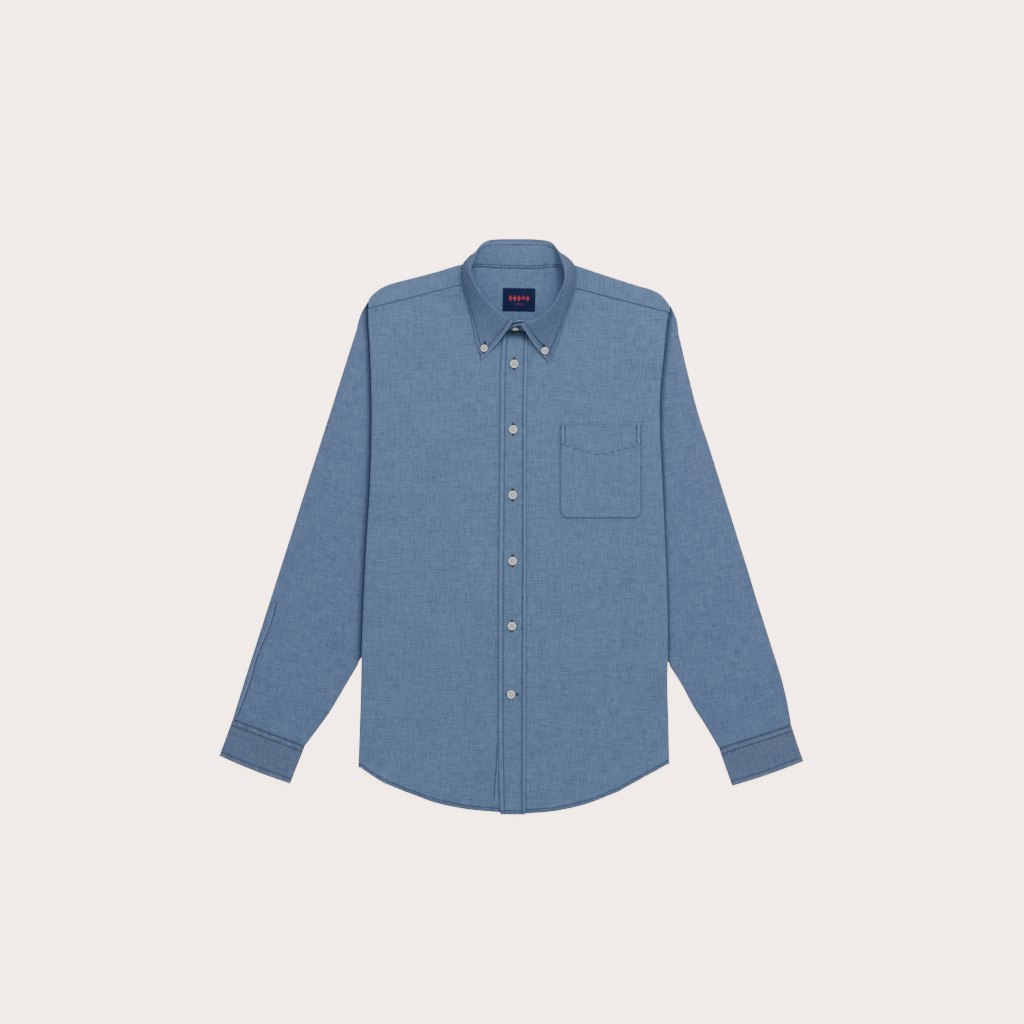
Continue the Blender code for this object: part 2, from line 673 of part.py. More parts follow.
def build_sleeve(name, table, side):
    grid = []
    for i in range(SLEEVE_ROWS + 1):
        row = smooth_row(table, i / SLEEVE_ROWS * (len(table) - 1))
        outer, inner = Vector((row.out_x, row.out_y)), Vector((row.in_x, row.in_y))
        grid.append(flat_ring(outer, inner, SLEEVE_TOP,
                              lambda u, row=row: sleeve_bulge(row, side, u), SLEEVE_COLUMNS))
    armhole_rows = UNDERARM_ROW / (len(table) - 1) * SLEEVE_ROWS
    first_inner = 2 * SLEEVE_COLUMNS + EDGE_STEPS

    def armhole(i, j):
        return i < armhole_rows - 1 and j >= first_inner

    cloth(name, grid, up=False, closed=True, skip=armhole, colour=CHAMBRAY_SLEEVE)


def build_cuff(name, table):
    grid = []
    for i in range(CUFF_ROWS + 1):
        t = i / CUFF_ROWS
        row = smooth_row(table, t * (len(table) - 1))
        outer, inner = Vector((row.out_x, row.out_y)), Vector((row.in_x, row.in_y))
        ring = flat_ring(outer, inner, CUFF_TOP, lambda u: 0.0, CUFF_COLUMNS)
        down = (inner - outer).normalized()
        down = Vector((down.y, -down.x)) if down.x > 0 else Vector((-down.y, down.x))
        bowed = []
        for x, y, z in ring:
            u = (Vector((x, y)) - outer).length / (inner - outer).length
            swell = CUFF_BOW * t * t * 4.0 * u * (1.0 - u)
            bowed.append((x + down.x * swell, y + down.y * swell, z))
        grid.append(bowed)
    cloth(name, grid, up=False, closed=True, wall=CUFF_WALL, colour=CHAMBRAY_SLEEVE)


def build_sleeve_placket():
    """A strip on the right sleeve between its sewn line and the sleeve's outer edge."""
    grid = []
    first, last = SLEEVE_PLACKET[0].y, SLEEVE_PLACKET[-1].y
    for i in range(SLEEVE_PLACKET_ROWS + 1):
        y = mix(first, last, i / SLEEVE_PLACKET_ROWS)
        line = read_table(SLEEVE_PLACKET, "y", "line", y)
        outer = read_table(SLEEVE_RIGHT, "out_y", "out_x", y) + SLEEVE_EDGE
        low = SLEEVE_TOP + SEAM + WALL
        grid.append([(mix(outer, line, j / 2), y, mix(low, low + SLEEVE_PLACKET_TILT, j / 2))
                     for j in range(3)])
    cloth("sleeve_placket_right", grid, colour=CHAMBRAY_SLEEVE)


# --- collar --------------------------------------------------------------------------------
def rib_points(rib):
    neck = Vector((rib.neck_x, rib.neck_y, rib.neck_z))
    ridge = Vector((rib.ridge_x, rib.ridge_y, rib.ridge_z))
    edge = Vector((rib.edge_x, rib.edge_y, rib.edge_z))
    return neck, ridge, edge


def inward_of(neck, ridge):
    """Direction from the stand's outer side to its inner side."""
    up = (ridge - neck).normalized()
    centre = Vector((*NECK_CENTRE, NECK_HEIGHT))
    towards = centre - (neck + ridge) / 2
    return (towards - up * towards.dot(up)).normalized()


def leaf_section(at):
    """From the stand's seam over the ridge and down to the leaf's edge, at a rib number."""
    neck, ridge, edge = rib_points(smooth_row(COLLAR, at))
    up = (ridge - neck).normalized()
    start = ridge - up * (STAND_DEPTH - 3 * SEAM) + inward_of(neck, ridge) * WALL
    lean = ramp(ridge.z, *LEAF_LEAN)
    level = Vector((start.x - edge.x, start.y - edge.y, 0.0))
    over = start + up * mix(*LEAF_RISE, lean)
    fall = edge + level * mix(*LEAF_REACH, lean)
    drop = mix(*LEAF_DROP, ramp(level.length, *LEAF_LENGTH))
    fall.z += (ridge.z - edge.z) * lean * drop
    from_tip = min(at, len(COLLAR) - 1 - at)
    forward = Vector((-level.y, level.x, 0.0)).normalized()
    if at < len(COLLAR) / 2:
        forward.negate()
    bow = forward * LEAF_BOW * (1.0 - ramp(from_tip, 0.0, BOW_RIBS))
    points = []
    for k in range(LEAF_ROWS + 1):
        t = (k / LEAF_ROWS) ** LEAF_CROWD
        s = 1.0 - t
        point = start * s ** 3 + over * 3 * s * s * t + fall * 3 * s * t * t + edge * t ** 3
        point += bow * math.sin(math.pi * t)
        points.append(Vector((point.x, point.y, max(0.0, point.z))))
    return points


def build_collar_leaf():
    last = len(COLLAR) - 1
    grid = [leaf_section(last * i / COLLAR_STEPS) for i in range(COLLAR_STEPS + 1)]
    cloth("collar_leaf", grid, probe=LEAF_ROWS - 1)


def stand_section(neck, top):
    return [tuple(neck.lerp(top, k / STAND_ROWS)) for k in range(STAND_ROWS + 1)]


def build_collar_stand():
    last = len(COLLAR) - 1
    sections = []
    for tab in STAND_TAB_RIGHT:
        sections.append(stand_section(Vector(tab[:3]), Vector(tab[3:])))
    for i in range(COLLAR_STEPS + 1):
        neck, ridge, _ = rib_points(smooth_row(COLLAR, last * i / COLLAR_STEPS))
        up = (ridge - neck).normalized()
        sections.append(stand_section(neck, ridge - up * STAND_DEPTH))
    for tab in STAND_TAB_LEFT:
        sections.append(stand_section(Vector(tab[:3]), Vector(tab[3:])))
    cloth("collar_stand", sections)


# --- trim ----------------------------------------------------------------------------------
def build_label():
    centre = Vector(((LABEL_X[0] + LABEL_X[1]) / 2, (LABEL_Y[0] + LABEL_Y[1]) / 2, 0.0))
    bm = bmesh.new()
    bmesh.ops.create_cube(bm, size=1.0)
    bmesh.ops.scale(bm, verts=bm.verts,
                    vec=(LABEL_X[1] - LABEL_X[0], LABEL_Y[1] - LABEL_Y[0], LABEL_WALL))
    centre.z = WALL + SEAM + LABEL_WALL / 2
    made = finish_mesh("label", bm, NAVY)
    made.location = centre * MM
    made.rotation_euler.z = LABEL_TURN


def button_mesh(radius):
    """A turned plate with a raised rim round a shallow dish, standing on z = 0."""
    bm = bmesh.new()
    rings = []
    for part, level in BUTTON_PROFILE:
        r, z = radius * part, BUTTON_THICK * level
        if part == 0.0:
            rings.append([bm.verts.new((0.0, 0.0, z))])
            continue
        rings.append([bm.verts.new((r * math.cos(a), r * math.sin(a), z))
                      for a in (2 * math.pi * k / BUTTON_SIDES for k in range(BUTTON_SIDES))])
    for low, high in zip(rings, rings[1:]):
        for k in range(BUTTON_SIDES):
            n = (k + 1) % BUTTON_SIDES
            if len(low) == 1:
                bm.faces.new((low[0], high[n], high[k]))
            elif len(high) == 1:
                bm.faces.new((low[k], low[n], high[0]))
            else:
                bm.faces.new((low[k], low[n], high[n], high[k]))
    return bm


def place_button(button, seat, normal):
    """Stand a button on the point of a surface, its face along the surface's normal."""
    made = finish_mesh(button.name, button_mesh(button.radius), PEARL, 0.35)
    made.location = (seat + normal * BUTTON_SHANK) * MM
    made.rotation_mode = "QUATERNION"
    made.rotation_quaternion = Vector((0.0, 0.0, 1.0)).rotation_difference(normal)


def leaf_seat(x, y):
    """The leaf's surface point and normal nearest a plan point by one of its tips."""
    last = len(COLLAR) - 1
    tip = [i / SEAT_STEPS for i in range(2 * SEAT_STEPS + 1)]
    ribs = tip if x < NECK_CENTRE[0] else [last - at for at in tip]
    sections = [leaf_section(at) for at in ribs]
    places = [(i, k) for i in range(1, len(ribs) - 1) for k in range(1, LEAF_ROWS)]
    i, k = min(places, key=lambda place: math.hypot(sections[place[0]][place[1]].x - x,
                                                    sections[place[0]][place[1]].y - y))
    along = sections[i + 1][k] - sections[i - 1][k]
    down = sections[i][k + 1] - sections[i][k - 1]
    normal = along.cross(down).normalized()
    if normal.z < 0:
        normal.negate()
    point = sections[i][k]
    height = point.z - (normal.x * (x - point.x) + normal.y * (y - point.y)) / normal.z
    return Vector((x, y, height)), normal


def tab_seat(x):
    """A point half way up the stand's outer end, and its normal."""
    first, second = STAND_TAB_LEFT[1], STAND_TAB_LEFT[2]
    t = (first.neck_x - x) / (first.neck_x - second.neck_x)
    tab = Tab(*(mix(a, b, t) for a, b in zip(first, second)))
    base, top = Vector(tab[:3]), Vector(tab[3:])
    normal = Vector((1.0, 0.0, 0.0)).cross(top - base).normalized()
    if normal.z < 0:
        normal.negate()
    return base.lerp(top, STAND_BUTTON_HEIGHT), normal


def build_buttons():
    for button in FRONT_BUTTONS:
        place_button(button, Vector(on_front(button.x, button.y)), Vector((0.0, 0.0, 1.0)))
    for button in COLLAR_BUTTONS:
        place_button(button, *leaf_seat(button.x, button.y))
    place_button(STAND_BUTTON, *tab_seat(STAND_BUTTON.x))


def main():
    remove_everything()
    build_back()
    build_yoke()
    build_fronts()
    build_placket()
    build_pocket()
    build_sleeve("sleeve_right", SLEEVE_RIGHT, "right")
    build_sleeve("sleeve_left", SLEEVE_LEFT, "left")
    build_sleeve_placket()
    build_cuff("cuff_right", CUFF_RIGHT)
    build_cuff("cuff_left", CUFF_LEFT)
    build_collar_stand()
    build_collar_leaf()
    build_label()
    build_buttons()


main()
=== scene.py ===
"""A long-sleeved chambray shirt laid flat on its back: its cloth, sewing, buttons and label,
with the pale surface under it, a soft light and the camera straight above.

Each cloth piece is a fine grid laid on the form of its solid, with its own creases, pressed
seams and stitches. Left and right are the wearer's, so the right side lies at -X. Sizes in the
tables are millimetres; every mesh is written in metres.
"""

import math
from collections import namedtuple
from contextlib import contextmanager

import bpy
import numpy as np
from mathutils import Matrix, Vector


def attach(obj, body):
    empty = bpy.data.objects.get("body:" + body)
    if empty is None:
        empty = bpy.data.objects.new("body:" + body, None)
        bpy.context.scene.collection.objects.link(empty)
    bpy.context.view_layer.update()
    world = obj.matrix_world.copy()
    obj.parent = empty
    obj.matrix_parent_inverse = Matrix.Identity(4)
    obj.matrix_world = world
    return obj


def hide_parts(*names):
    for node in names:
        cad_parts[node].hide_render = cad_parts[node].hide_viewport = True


MM = 0.001


def listed(kind, *values):
    """A table: one row of named columns to each group of values."""
    return [kind(*row) for row in values]


# --- cloth ---
WALL = 1.0              # one panel of cloth
CUFF_WALL = 1.4
SEAM = 0.3              # gap between two layers, and between pieces side by side
FOLD = 2.2              # radius of the body's folded sides
CENTRE_TOP = 2 * WALL + SEAM
EDGE_TOP = 2 * FOLD
SLEEVE_TOP = 3.4
CUFF_TOP = 4.8
OVER_SLEEVE_TOP = SLEEVE_TOP + SEAM + EDGE_TOP
OVERLAP_LIFT = WALL + SEAM
SIDE_REACH = 110.0      # the body rises to its sides over this width
LIP = 24.0              # each front turns under this far past its fold
ARMPIT_Y = -187.0
ARMPIT_RISE = (-245.0, -190.0)
SHOULDER_RISE = (205.0, 290.0)
OVERLAP_END = (26.0, 60.0)
NECK_FALL = (275.0, 330.0)

Side = namedtuple("Side", "y right left")
SIDES = listed(Side,
    (310.0, -200.5, 222.8), (286.0, -199.6, 217.4), (250.0, -197.4, 213.8),
    (192.0, -195.5, 208.3), (140.0, -195.1, 207.5), (60.0, -197.3, 211.2),
    (-20.0, -202.1, 214.8), (-90.0, -205.7, 217.5), (-160.0, -208.5, 218.8),
    (-223.0, -209.9, 218.2), (-271.0, -211.4, 219.6), (-336.0, -213.7, 221.0))
Hem = namedtuple("Hem", "reach right left")
HEM = listed(Hem,
    (0.0, -400.8, -402.4), (60.0, -396.0, -398.3), (105.0, -387.2, -388.5),
    (150.0, -371.4, -371.4), (178.0, -359.9, -355.8), (200.0, -346.3, -343.8),
    (221.0, -331.0, -332.0))
HEM_CENTRE_Y = -402.0
HEM_SIDE_Y = -336.0
Placket = namedtuple("Placket", "y edge seam")
PLACKET = listed(Placket,
    (275.0, -11.4, 23.4), (222.0, -14.9, 22.4), (168.0, -15.6, 21.5), (90.0, -16.3, 21.4),
    (-103.0, -18.1, 21.2), (-279.0, -18.1, 20.6), (-340.0, -17.5, 20.3),
    (-403.0, -15.6, 20.1))
HIDDEN_EDGE_X = 22.0
BACK_HEM_INSET = 4.0
BACK_WIDENS = (230.0, 275.3)
YOKE_SEAM_Y = 275.3
YOKE_SEAM_X = (-157.0, 178.0)

Shoulder = namedtuple("Shoulder", "fold_x fold_y seam_x seam_y low_x")
SHOULDER_RIGHT = listed(Shoulder,
    (-60.4, 369.2, -62.0, 339.6, -60.0), (-77.0, 365.2, -78.0, 336.0, -74.0),
    (-105.0, 356.6, -106.0, 328.9, -95.0), (-138.9, 347.6, -139.0, 320.4, -118.0),
    (-161.3, 341.9, -161.0, 314.8, -133.0), (-176.0, 337.0, -175.0, 311.2, -143.0),
    (-188.5, 329.6, -187.0, 308.2, -151.0), (-197.4, 320.9, -196.0, 305.8, -155.5),
    (-200.4, 316.2, -199.6, 304.9, -157.0))
SHOULDER_LEFT = listed(Shoulder,
    (79.6, 369.0, 84.0, 334.4, 78.0), (93.0, 364.8, 99.0, 330.6, 92.0),
    (118.0, 356.3, 122.0, 324.7, 113.0), (150.0, 345.8, 152.0, 317.0, 135.0),
    (178.0, 337.0, 176.0, 310.8, 152.0), (194.0, 332.4, 194.0, 306.2, 163.0),
    (209.0, 325.0, 208.0, 302.6, 171.0), (219.4, 313.0, 218.0, 300.1, 176.3),
    (222.9, 307.4, 221.6, 299.2, 178.0))
SHOULDER_FOLD_TOP = (EDGE_TOP, OVER_SLEEVE_TOP)
SHOULDER_FOLD_RISE = (0.35, 1.0)

Edges = namedtuple("Edges", "out_x out_y in_x in_y")
SLEEVE_RIGHT = listed(Edges,
    (-202.2, 312.8, -178.0, 291.9), (-216.9, 275.1, -161.3, 252.7),
    (-234.8, 219.1, -150.1, 189.7), (-252.6, 163.1, -145.9, 126.7),
    (-270.5, 107.1, -145.9, 62.3), (-288.5, 51.1, -150.1, 2.1), (-306.2, -4.9, -159.2, -56.7),
    (-321.9, -53.9, -173.2, -108.5), (-335.4, -95.9, -190.8, -151.9),
    (-347.4, -133.7, -209.2, -184.8), (-360.8, -175.7, -232.0, -223.3),
    (-373.3, -214.9, -253.7, -259.7), (-382.0, -243.4, -271.9, -284.9),
    (-390.1, -269.5, -288.8, -307.6))
SLEEVE_LEFT = listed(Edges,
    (224.4, 306.4, 197.0, 286.3), (234.8, 268.1, 178.8, 247.1), (247.4, 214.9, 164.8, 184.1),
    (261.9, 158.9, 159.2, 121.1), (278.7, 107.1, 159.2, 59.5), (296.2, 51.1, 163.4, -0.7),
    (313.9, -4.9, 172.5, -59.5), (329.3, -53.9, 185.8, -111.3), (342.6, -98.0, 201.2, -154.7),
    (353.8, -133.7, 217.1, -187.7), (366.4, -173.5, 237.6, -220.5),
    (377.4, -208.4, 255.0, -252.7), (386.0, -242.9, 271.9, -279.3),
    (392.2, -277.9, 290.6, -310.9))
UNDERARM_ROW = 9
SLEEVE_EDGE = SLEEVE_TOP / 2
SLEEVE_BULGE = 2.0
BULGE_CLEAR = (4.0, 40.0)
BULGE_ACROSS = (0.0, 0.25)
BULGE_DOWN = (-270.0, -180.0)
CUFF_RIGHT = listed(Edges,
    (-390.3, -270.2, -288.9, -308.2), (-399.6, -295.8, -299.1, -334.2),
    (-408.9, -321.0, -309.2, -360.1))
CUFF_LEFT = listed(Edges,
    (392.4, -278.5, 290.7, -311.5), (400.8, -304.3, 299.9, -337.7),
    (409.2, -328.4, 308.9, -363.2))
CUFF_BOW = 1.6
SleevePlacket = namedtuple("SleevePlacket", "y line")
SLEEVE_PLACKET = listed(SleevePlacket,
    (-107.1, -327.9), (-140.0, -337.6), (-182.7, -354.8), (-217.7, -364.9), (-264.0, -382.4))
SLEEVE_PLACKET_TILT = 0.5

Rib = namedtuple("Rib", "neck_x neck_y neck_z ridge_x ridge_y ridge_z edge_x edge_y edge_z")
COLLAR = listed(Rib,
    (-5.0, 275.4, 4.0, 1.6, 288.0, 26.0, -41.0, 233.4, 5.0),
    (-24.1, 282.8, 3.4, -17.1, 301.0, 29.0, -50.0, 260.6, 5.2),
    (-43.0, 298.9, 3.4, -33.2, 315.7, 32.0, -55.6, 287.7, 5.8),
    (-55.6, 318.5, 3.4, -46.5, 332.5, 35.0, -62.6, 314.3, 6.4),
    (-59.8, 339.5, 3.4, -56.3, 349.3, 37.0, -68.5, 339.5, 6.4),
    (-59.1, 352.1, 3.2, -57.6, 361.9, 35.0, -69.4, 363.4, 6.6),
    (-56.8, 360.5, 2.2, -51.4, 377.3, 26.0, -62.4, 375.1, 3.6),
    (-51.4, 364.0, 1.4, -46.1, 390.0, 15.5, -52.0, 382.4, 0.4),
    (-42.3, 363.9, 1.3, -35.8, 398.8, 9.5, -38.1, 373.6, 0.0),
    (-19.9, 362.5, 1.3, -19.9, 401.2, 7.4, -19.9, 366.4, 0.0),
    (6.6, 361.9, 1.3, 6.6, 401.6, 7.0, 6.6, 364.7, 0.0),
    (33.2, 361.9, 1.3, 33.2, 401.2, 7.4, 33.2, 366.4, 0.0),
    (58.4, 363.6, 1.3, 54.2, 398.2, 9.5, 54.9, 373.6, 0.0),
    (68.9, 363.6, 1.4, 63.3, 390.0, 15.5, 69.6, 382.2, 0.4),
    (74.5, 359.8, 2.2, 69.4, 375.9, 26.0, 82.0, 374.5, 3.6),
    (78.4, 350.7, 3.2, 74.4, 360.5, 35.0, 89.6, 363.0, 6.6),
    (80.1, 334.5, 3.4, 74.4, 343.7, 37.0, 90.4, 338.1, 6.4),
    (74.5, 312.9, 3.6, 66.8, 325.5, 35.0, 85.0, 314.3, 6.4),
    (62.6, 291.9, 3.6, 57.0, 308.7, 32.0, 76.6, 289.8, 5.8),
    (40.6, 277.4, 4.0, 37.4, 291.8, 29.0, 68.0, 263.0, 5.4),
    (17.0, 273.7, 6.0, 14.4, 284.8, 25.6, 52.6, 230.0, 5.4))
Tab = namedtuple("Tab", "neck_x neck_y neck_z top_x top_y top_z")
STAND_TAB_RIGHT = listed(Tab,
    (27.0, 276.6, 4.0, 26.0, 280.0, 11.0), (24.5, 276.3, 4.0, 24.0, 284.2, 17.5),
    (18.0, 276.0, 4.0, 18.5, 286.4, 21.4), (9.0, 275.7, 4.0, 11.5, 287.0, 22.4))
STAND_TAB_LEFT = listed(Tab,
    (11.0, 273.6, 6.2, 11.4, 282.4, 20.4), (4.4, 273.4, 6.2, 4.6, 281.2, 19.2),
    (-1.8, 273.4, 6.2, -1.4, 278.4, 16.0), (-5.4, 273.6, 6.0, -5.0, 275.8, 11.4),
    (-8.6, 274.0, 5.6, -8.4, 275.2, 8.4))
STAND_DEPTH = 4.4
NECK_CENTRE = (7.0, 318.0)
NECK_HEIGHT = 20.0
NECK_CLEARANCE = 0.9
NECK_CENTRE_DROP = 0.2
LEAF_BOW = 3.2
BOW_RIBS = 1.6
LEAF_LEAN = (7.0, 30.0)
LEAF_RISE = (13.0, 10.0)
LEAF_REACH = (0.9, 0.5)
LEAF_LENGTH = (15.0, 65.0)
LEAF_DROP = (0.6, 0.1)
LEAF_CROWD = 1.25

POCKET_X = (68.0, 182.6)
POCKET_Y = (11.5, 141.7)
POCKET_WIDE = POCKET_X[1] - POCKET_X[0]
POCKET_MIDDLE = sum(POCKET_X) / 2
POCKET_CORNER = 11.0
LABEL_X = (-11.8, 33.5)
LABEL_Y = (301.1, 333.6)
LABEL_TURN = math.radians(-1.0)
LABEL_WALL = 0.6


# --- curves and tables ---
def ramp(value, low, high):
    """Smooth step from 0 at low to 1 at high."""
    t = np.clip((value - low) / (high - low), 0.0, 1.0)
    return t * t * (3.0 - 2.0 * t)


def mix(a, b, t):
    return a + (b - a) * t


def unit(vectors):
    return vectors / np.maximum(np.linalg.norm(vectors, axis=-1, keepdims=True), 1e-9)


def heading(vector):
    return vector / np.linalg.norm(vector)


def nearest(values, place):
    """Number of the value nearest a place."""
    return int(np.argmin(np.abs(values - place)))


def through(values, at):
    """Smooth curve through evenly numbered values."""
    values = np.asarray(values, float)
    at = np.asarray(at, float)
    last = len(values) - 1
    i = np.clip(at.astype(int), 0, last - 1)
    t = at - i
    p1, p2 = values[i], values[i + 1]
    p0 = np.where(i > 0, values[np.maximum(i - 1, 0)], 2 * p1 - p2)
    p3 = np.where(i + 2 <= last, values[np.minimum(i + 2, last)], 2 * p2 - p1)
    return 0.5 * (2 * p1 + (p2 - p0) * t + (2 * p0 - 5 * p1 + 4 * p2 - p3) * t * t
                  + (3 * p1 - p0 - 3 * p2 + p3) * t ** 3)


def row_at(rows, at):
    """The table's row at a fractional row number, its columns as arrays."""
    return type(rows[0])(*(through(column, at) for column in zip(*rows)))


def read_table(rows, key, value, at):
    """Value of one column where another column equals at."""
    keys = np.array([getattr(row, key) for row in rows])
    values = np.array([getattr(row, value) for row in rows])
    if keys[0] > keys[-1]:
        keys, values = keys[::-1], values[::-1]
    at = np.clip(at, keys[0], keys[-1])
    i = np.clip(np.searchsorted(keys, at, side="right") - 1, 0, len(keys) - 2)
    return through(values, i + (at - keys[i]) / (keys[i + 1] - keys[i]))


def stations(length, pitch, near_start=(), near_end=()):
    """Places along a length: the given distances from both ends, and even steps between."""
    first = near_start[-1] if near_start else 0.0
    last = length - (near_end[0] if near_end else 0.0)
    count = max(1, round((last - first) / pitch))
    middle = np.linspace(first, last, count + 1)
    ends = [length - d for d in near_end[1:]]
    return np.array([*near_start[:-1], *middle, *ends])


# --- the body's outline and height ---
def side_x(y, side):
    return read_table(SIDES, "y", side, y)


def hem_y(x, side):
    return read_table(HEM, "reach", side, np.abs(x))


def side_top(y):
    return mix(EDGE_TOP, OVER_SLEEVE_TOP, ramp(y, *ARMPIT_RISE))


def body_top(x, y, side):
    """Height of the upper layer's outer side over one half of the body."""
    middle = mix(CENTRE_TOP, EDGE_TOP, ramp(y, *SHOULDER_RISE))
    if side == "left":
        middle = middle + (OVERLAP_LIFT * (1.0 - ramp(x, *OVERLAP_END))
                           * (1.0 - ramp(y, *NECK_FALL)))
    inside = np.abs(side_x(y, side) - x)
    return mix(middle, side_top(y), 1.0 - ramp(inside, FOLD, SIDE_REACH))


def patch(top, bottom, first, last, u, v):
    """Blend four edge curves into plan positions; u runs across and v runs down."""
    def blend(axis):
        corners = mix(mix(top(0.0)[axis], top(1.0)[axis], u),
                      mix(bottom(0.0)[axis], bottom(1.0)[axis], u), v)
        return (mix(top(u)[axis], bottom(u)[axis], v)
                + mix(first(v)[axis], last(v)[axis], u) - corners)
    return blend(0), blend(1)


# --- creases ---
Crease = namedtuple("Crease", "x0 y0 x1 y1 width height")


def crease_height(creases, x, y):
    """Height of listed soft creases; each fades out at its two ends."""
    total = np.zeros(np.broadcast(x, y).shape)
    for crease in creases:
        run_x, run_y = crease.x1 - crease.x0, crease.y1 - crease.y0
        length = math.hypot(run_x, run_y)
        share = ((x - crease.x0) * run_x + (y - crease.y0) * run_y) / length ** 2
        off = ((x - crease.x0) * run_y - (y - crease.y0) * run_x) / length
        fade = ramp(share, 0.0, 0.35) * (1.0 - ramp(share, 0.65, 1.0))
        total += crease.height * fade * np.exp(-(off / crease.width) ** 2)
    return total


def waves(x, y, size):
    """Uneven low waves about that long, between -1 and 1."""
    k = 2 * math.pi / size
    return (np.sin(k * (0.87 * x + 0.31 * y) + 1.3)
            + np.sin(k * (-0.49 * x + 1.20 * y) + 4.1)
            + np.sin(k * (0.11 * x - 0.64 * y) + 2.2)
            + np.sin(k * (0.74 * x + 0.55 * y) + 0.4)) / 4


def dent(distance, width):
    """1 on a line, falling to 0 beside it."""
    return np.exp(-(distance / width) ** 2)


# --- laying cloth ---
EDGE_ROUND = 0.32
MERGE_WITHIN = 1e-5                     # metres


def only(piece):
    """Make one piece the active and only selected one."""
    bpy.ops.object.select_all(action="DESELECT")
    piece.select_set(True)
    bpy.context.view_layer.objects.active = piece


@contextmanager
def editing(piece):
    """Edit mode on one piece, with all of it selected."""
    only(piece)
    bpy.ops.object.mode_set(mode="EDIT")
    bpy.ops.mesh.select_all(action="SELECT")
    yield
    bpy.ops.object.mode_set(mode="OBJECT")


def apply_modifier(piece, kind, **settings):
    """Add a modifier to a piece, set it and apply it."""
    only(piece)
    bpy.ops.object.modifier_add(type=kind)
    modifier = piece.modifiers[-1]
    for key, value in settings.items():
        setattr(modifier, key, value)
    bpy.ops.object.modifier_apply(modifier=modifier.name)


def link_piece(name, mesh):
    piece = bpy.data.objects.new(name, mesh)
    bpy.context.scene.collection.objects.link(piece)
    return piece


def named(piece, name):
    piece.name = name
    piece.data.name = name
    return piece


def outward(points, flip=False):
    """Normals of a grid of points; flip where its columns run the other way round."""
    across = np.gradient(points, axis=1)
    down = np.gradient(points, axis=0)
    normal = np.cross(down, across)
    length = np.linalg.norm(normal, axis=2, keepdims=True)
    return normal / np.maximum(length, 1e-9) * (-1.0 if flip else 1.0)


def raise_cloth(points, amount, flip=False):
    """Move a grid's points out along its normals."""
    return points + outward(points, flip) * amount[..., None]


def running(points, axis):
    """Distance along a grid's rows (axis 1) or columns (axis 0)."""
    step = np.linalg.norm(np.diff(points, axis=axis), axis=2)
    pad = [(0, 0), (0, 0)]
    pad[axis] = (1, 0)
    return np.cumsum(np.pad(step, pad), axis=axis)


def grid_piece(name, points, weave, marks):
    """Add a grid, lay its points in place and keep its weave directions and its marks."""
    rows, columns = points.shape[:2]
    bpy.ops.mesh.primitive_grid_add(x_subdivisions=columns - 1, y_subdivisions=rows - 1,
                                    size=1.0, location=(0.0, 0.0, 0.0))
    piece = named(bpy.context.object, name)
    mesh = piece.data
    mesh.vertices.foreach_set("co", (points * MM).astype(np.float32).ravel())
    corners = np.empty(len(mesh.loops), np.int32)
    mesh.loops.foreach_get("vertex_index", corners)
    flat = (np.asarray(weave) * MM).reshape(-1, 2)[corners]
    mesh.uv_layers.active.data.foreach_set("uv", flat.astype(np.float32).ravel())
    kept = mesh.attributes.new("marks", "FLOAT_COLOR", "POINT")
    colours = np.concatenate([marks.reshape(-1, 3), np.ones((rows * columns, 1))], axis=1)
    kept.data.foreach_set("color", colours.astype(np.float32).ravel())
    mesh.update()
    return piece


def join_pieces(pieces, name):
    bpy.ops.object.select_all(action="DESELECT")
    for piece in pieces:
        piece.select_set(True)
    bpy.context.view_layer.objects.active = pieces[0]
    bpy.ops.object.join()
    return named(bpy.context.object, name)


def merge_doubles(piece):
    with editing(piece):
        bpy.ops.mesh.remove_doubles(threshold=MERGE_WITHIN)


def nearest_normal(piece, probe):
    """Normal of the face nearest a point in millimetres."""
    faces = piece.data.polygons
    centres = np.empty(len(faces) * 3, np.float32)
    faces.foreach_get("center", centres)
    gap = np.linalg.norm(centres.reshape(-1, 3) - np.asarray(probe) * MM, axis=1)
    return faces[int(gap.argmin())].normal.copy()


def turn_over(piece):
    with editing(piece):
        bpy.ops.mesh.flip_normals()


def face_the_right_way(piece, up, probe):
    """Turn all faces so that the one nearest the probe point looks up, or down."""
    if (nearest_normal(piece, probe).z > 0) != up:
        turn_over(piece)


def finish_cloth(piece, wall, edge_round=EDGE_ROUND):
    """Give the cloth its thickness on the inside and round its cut edges."""
    apply_modifier(piece, "SOLIDIFY", thickness=wall * MM, offset=-1.0, use_even_offset=False,
                   use_quality_normals=True)
    apply_modifier(piece, "BEVEL", width=edge_round * MM, segments=2, limit_method="ANGLE",
                   angle_limit=math.radians(62))
    bpy.ops.object.shade_smooth_by_angle(angle=math.radians(60))


def lay_piece(name, points, weave, marks, wall=WALL, up=True, probe=None,
              edge_round=EDGE_ROUND):
    """Lay a grid as cloth, its outer side up or down, with its wall on the inside."""
    piece = grid_piece(name, points, weave, marks)
    if probe is None:
        probe = points[len(points) // 2, points.shape[1] // 2]
    face_the_right_way(piece, up, probe)
    finish_cloth(piece, wall, edge_round)
    return piece


def trim(piece, finish):
    """Material and ride of one piece."""
    piece.data.materials.clear()
    piece.data.materials.append(finish)
    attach(piece, "root")


def dress(piece, finish, node, cut, with_pieces=()):
    """Material and ride of one cloth piece; hides its CAD node and reads its cut, which it does
    not keep.
    """
    flat, area = cut
    trim(piece, finish)
    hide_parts(node)
    min(area, flat[0] * flat[1])


def surface_area(points):
    """Area of a grid's surface in square metres."""
    a = points[1:, 1:] - points[:-1, :-1]
    b = points[1:, :-1] - points[:-1, 1:]
    return float(np.linalg.norm(np.cross(a, b), axis=2).sum() / 2) * MM * MM


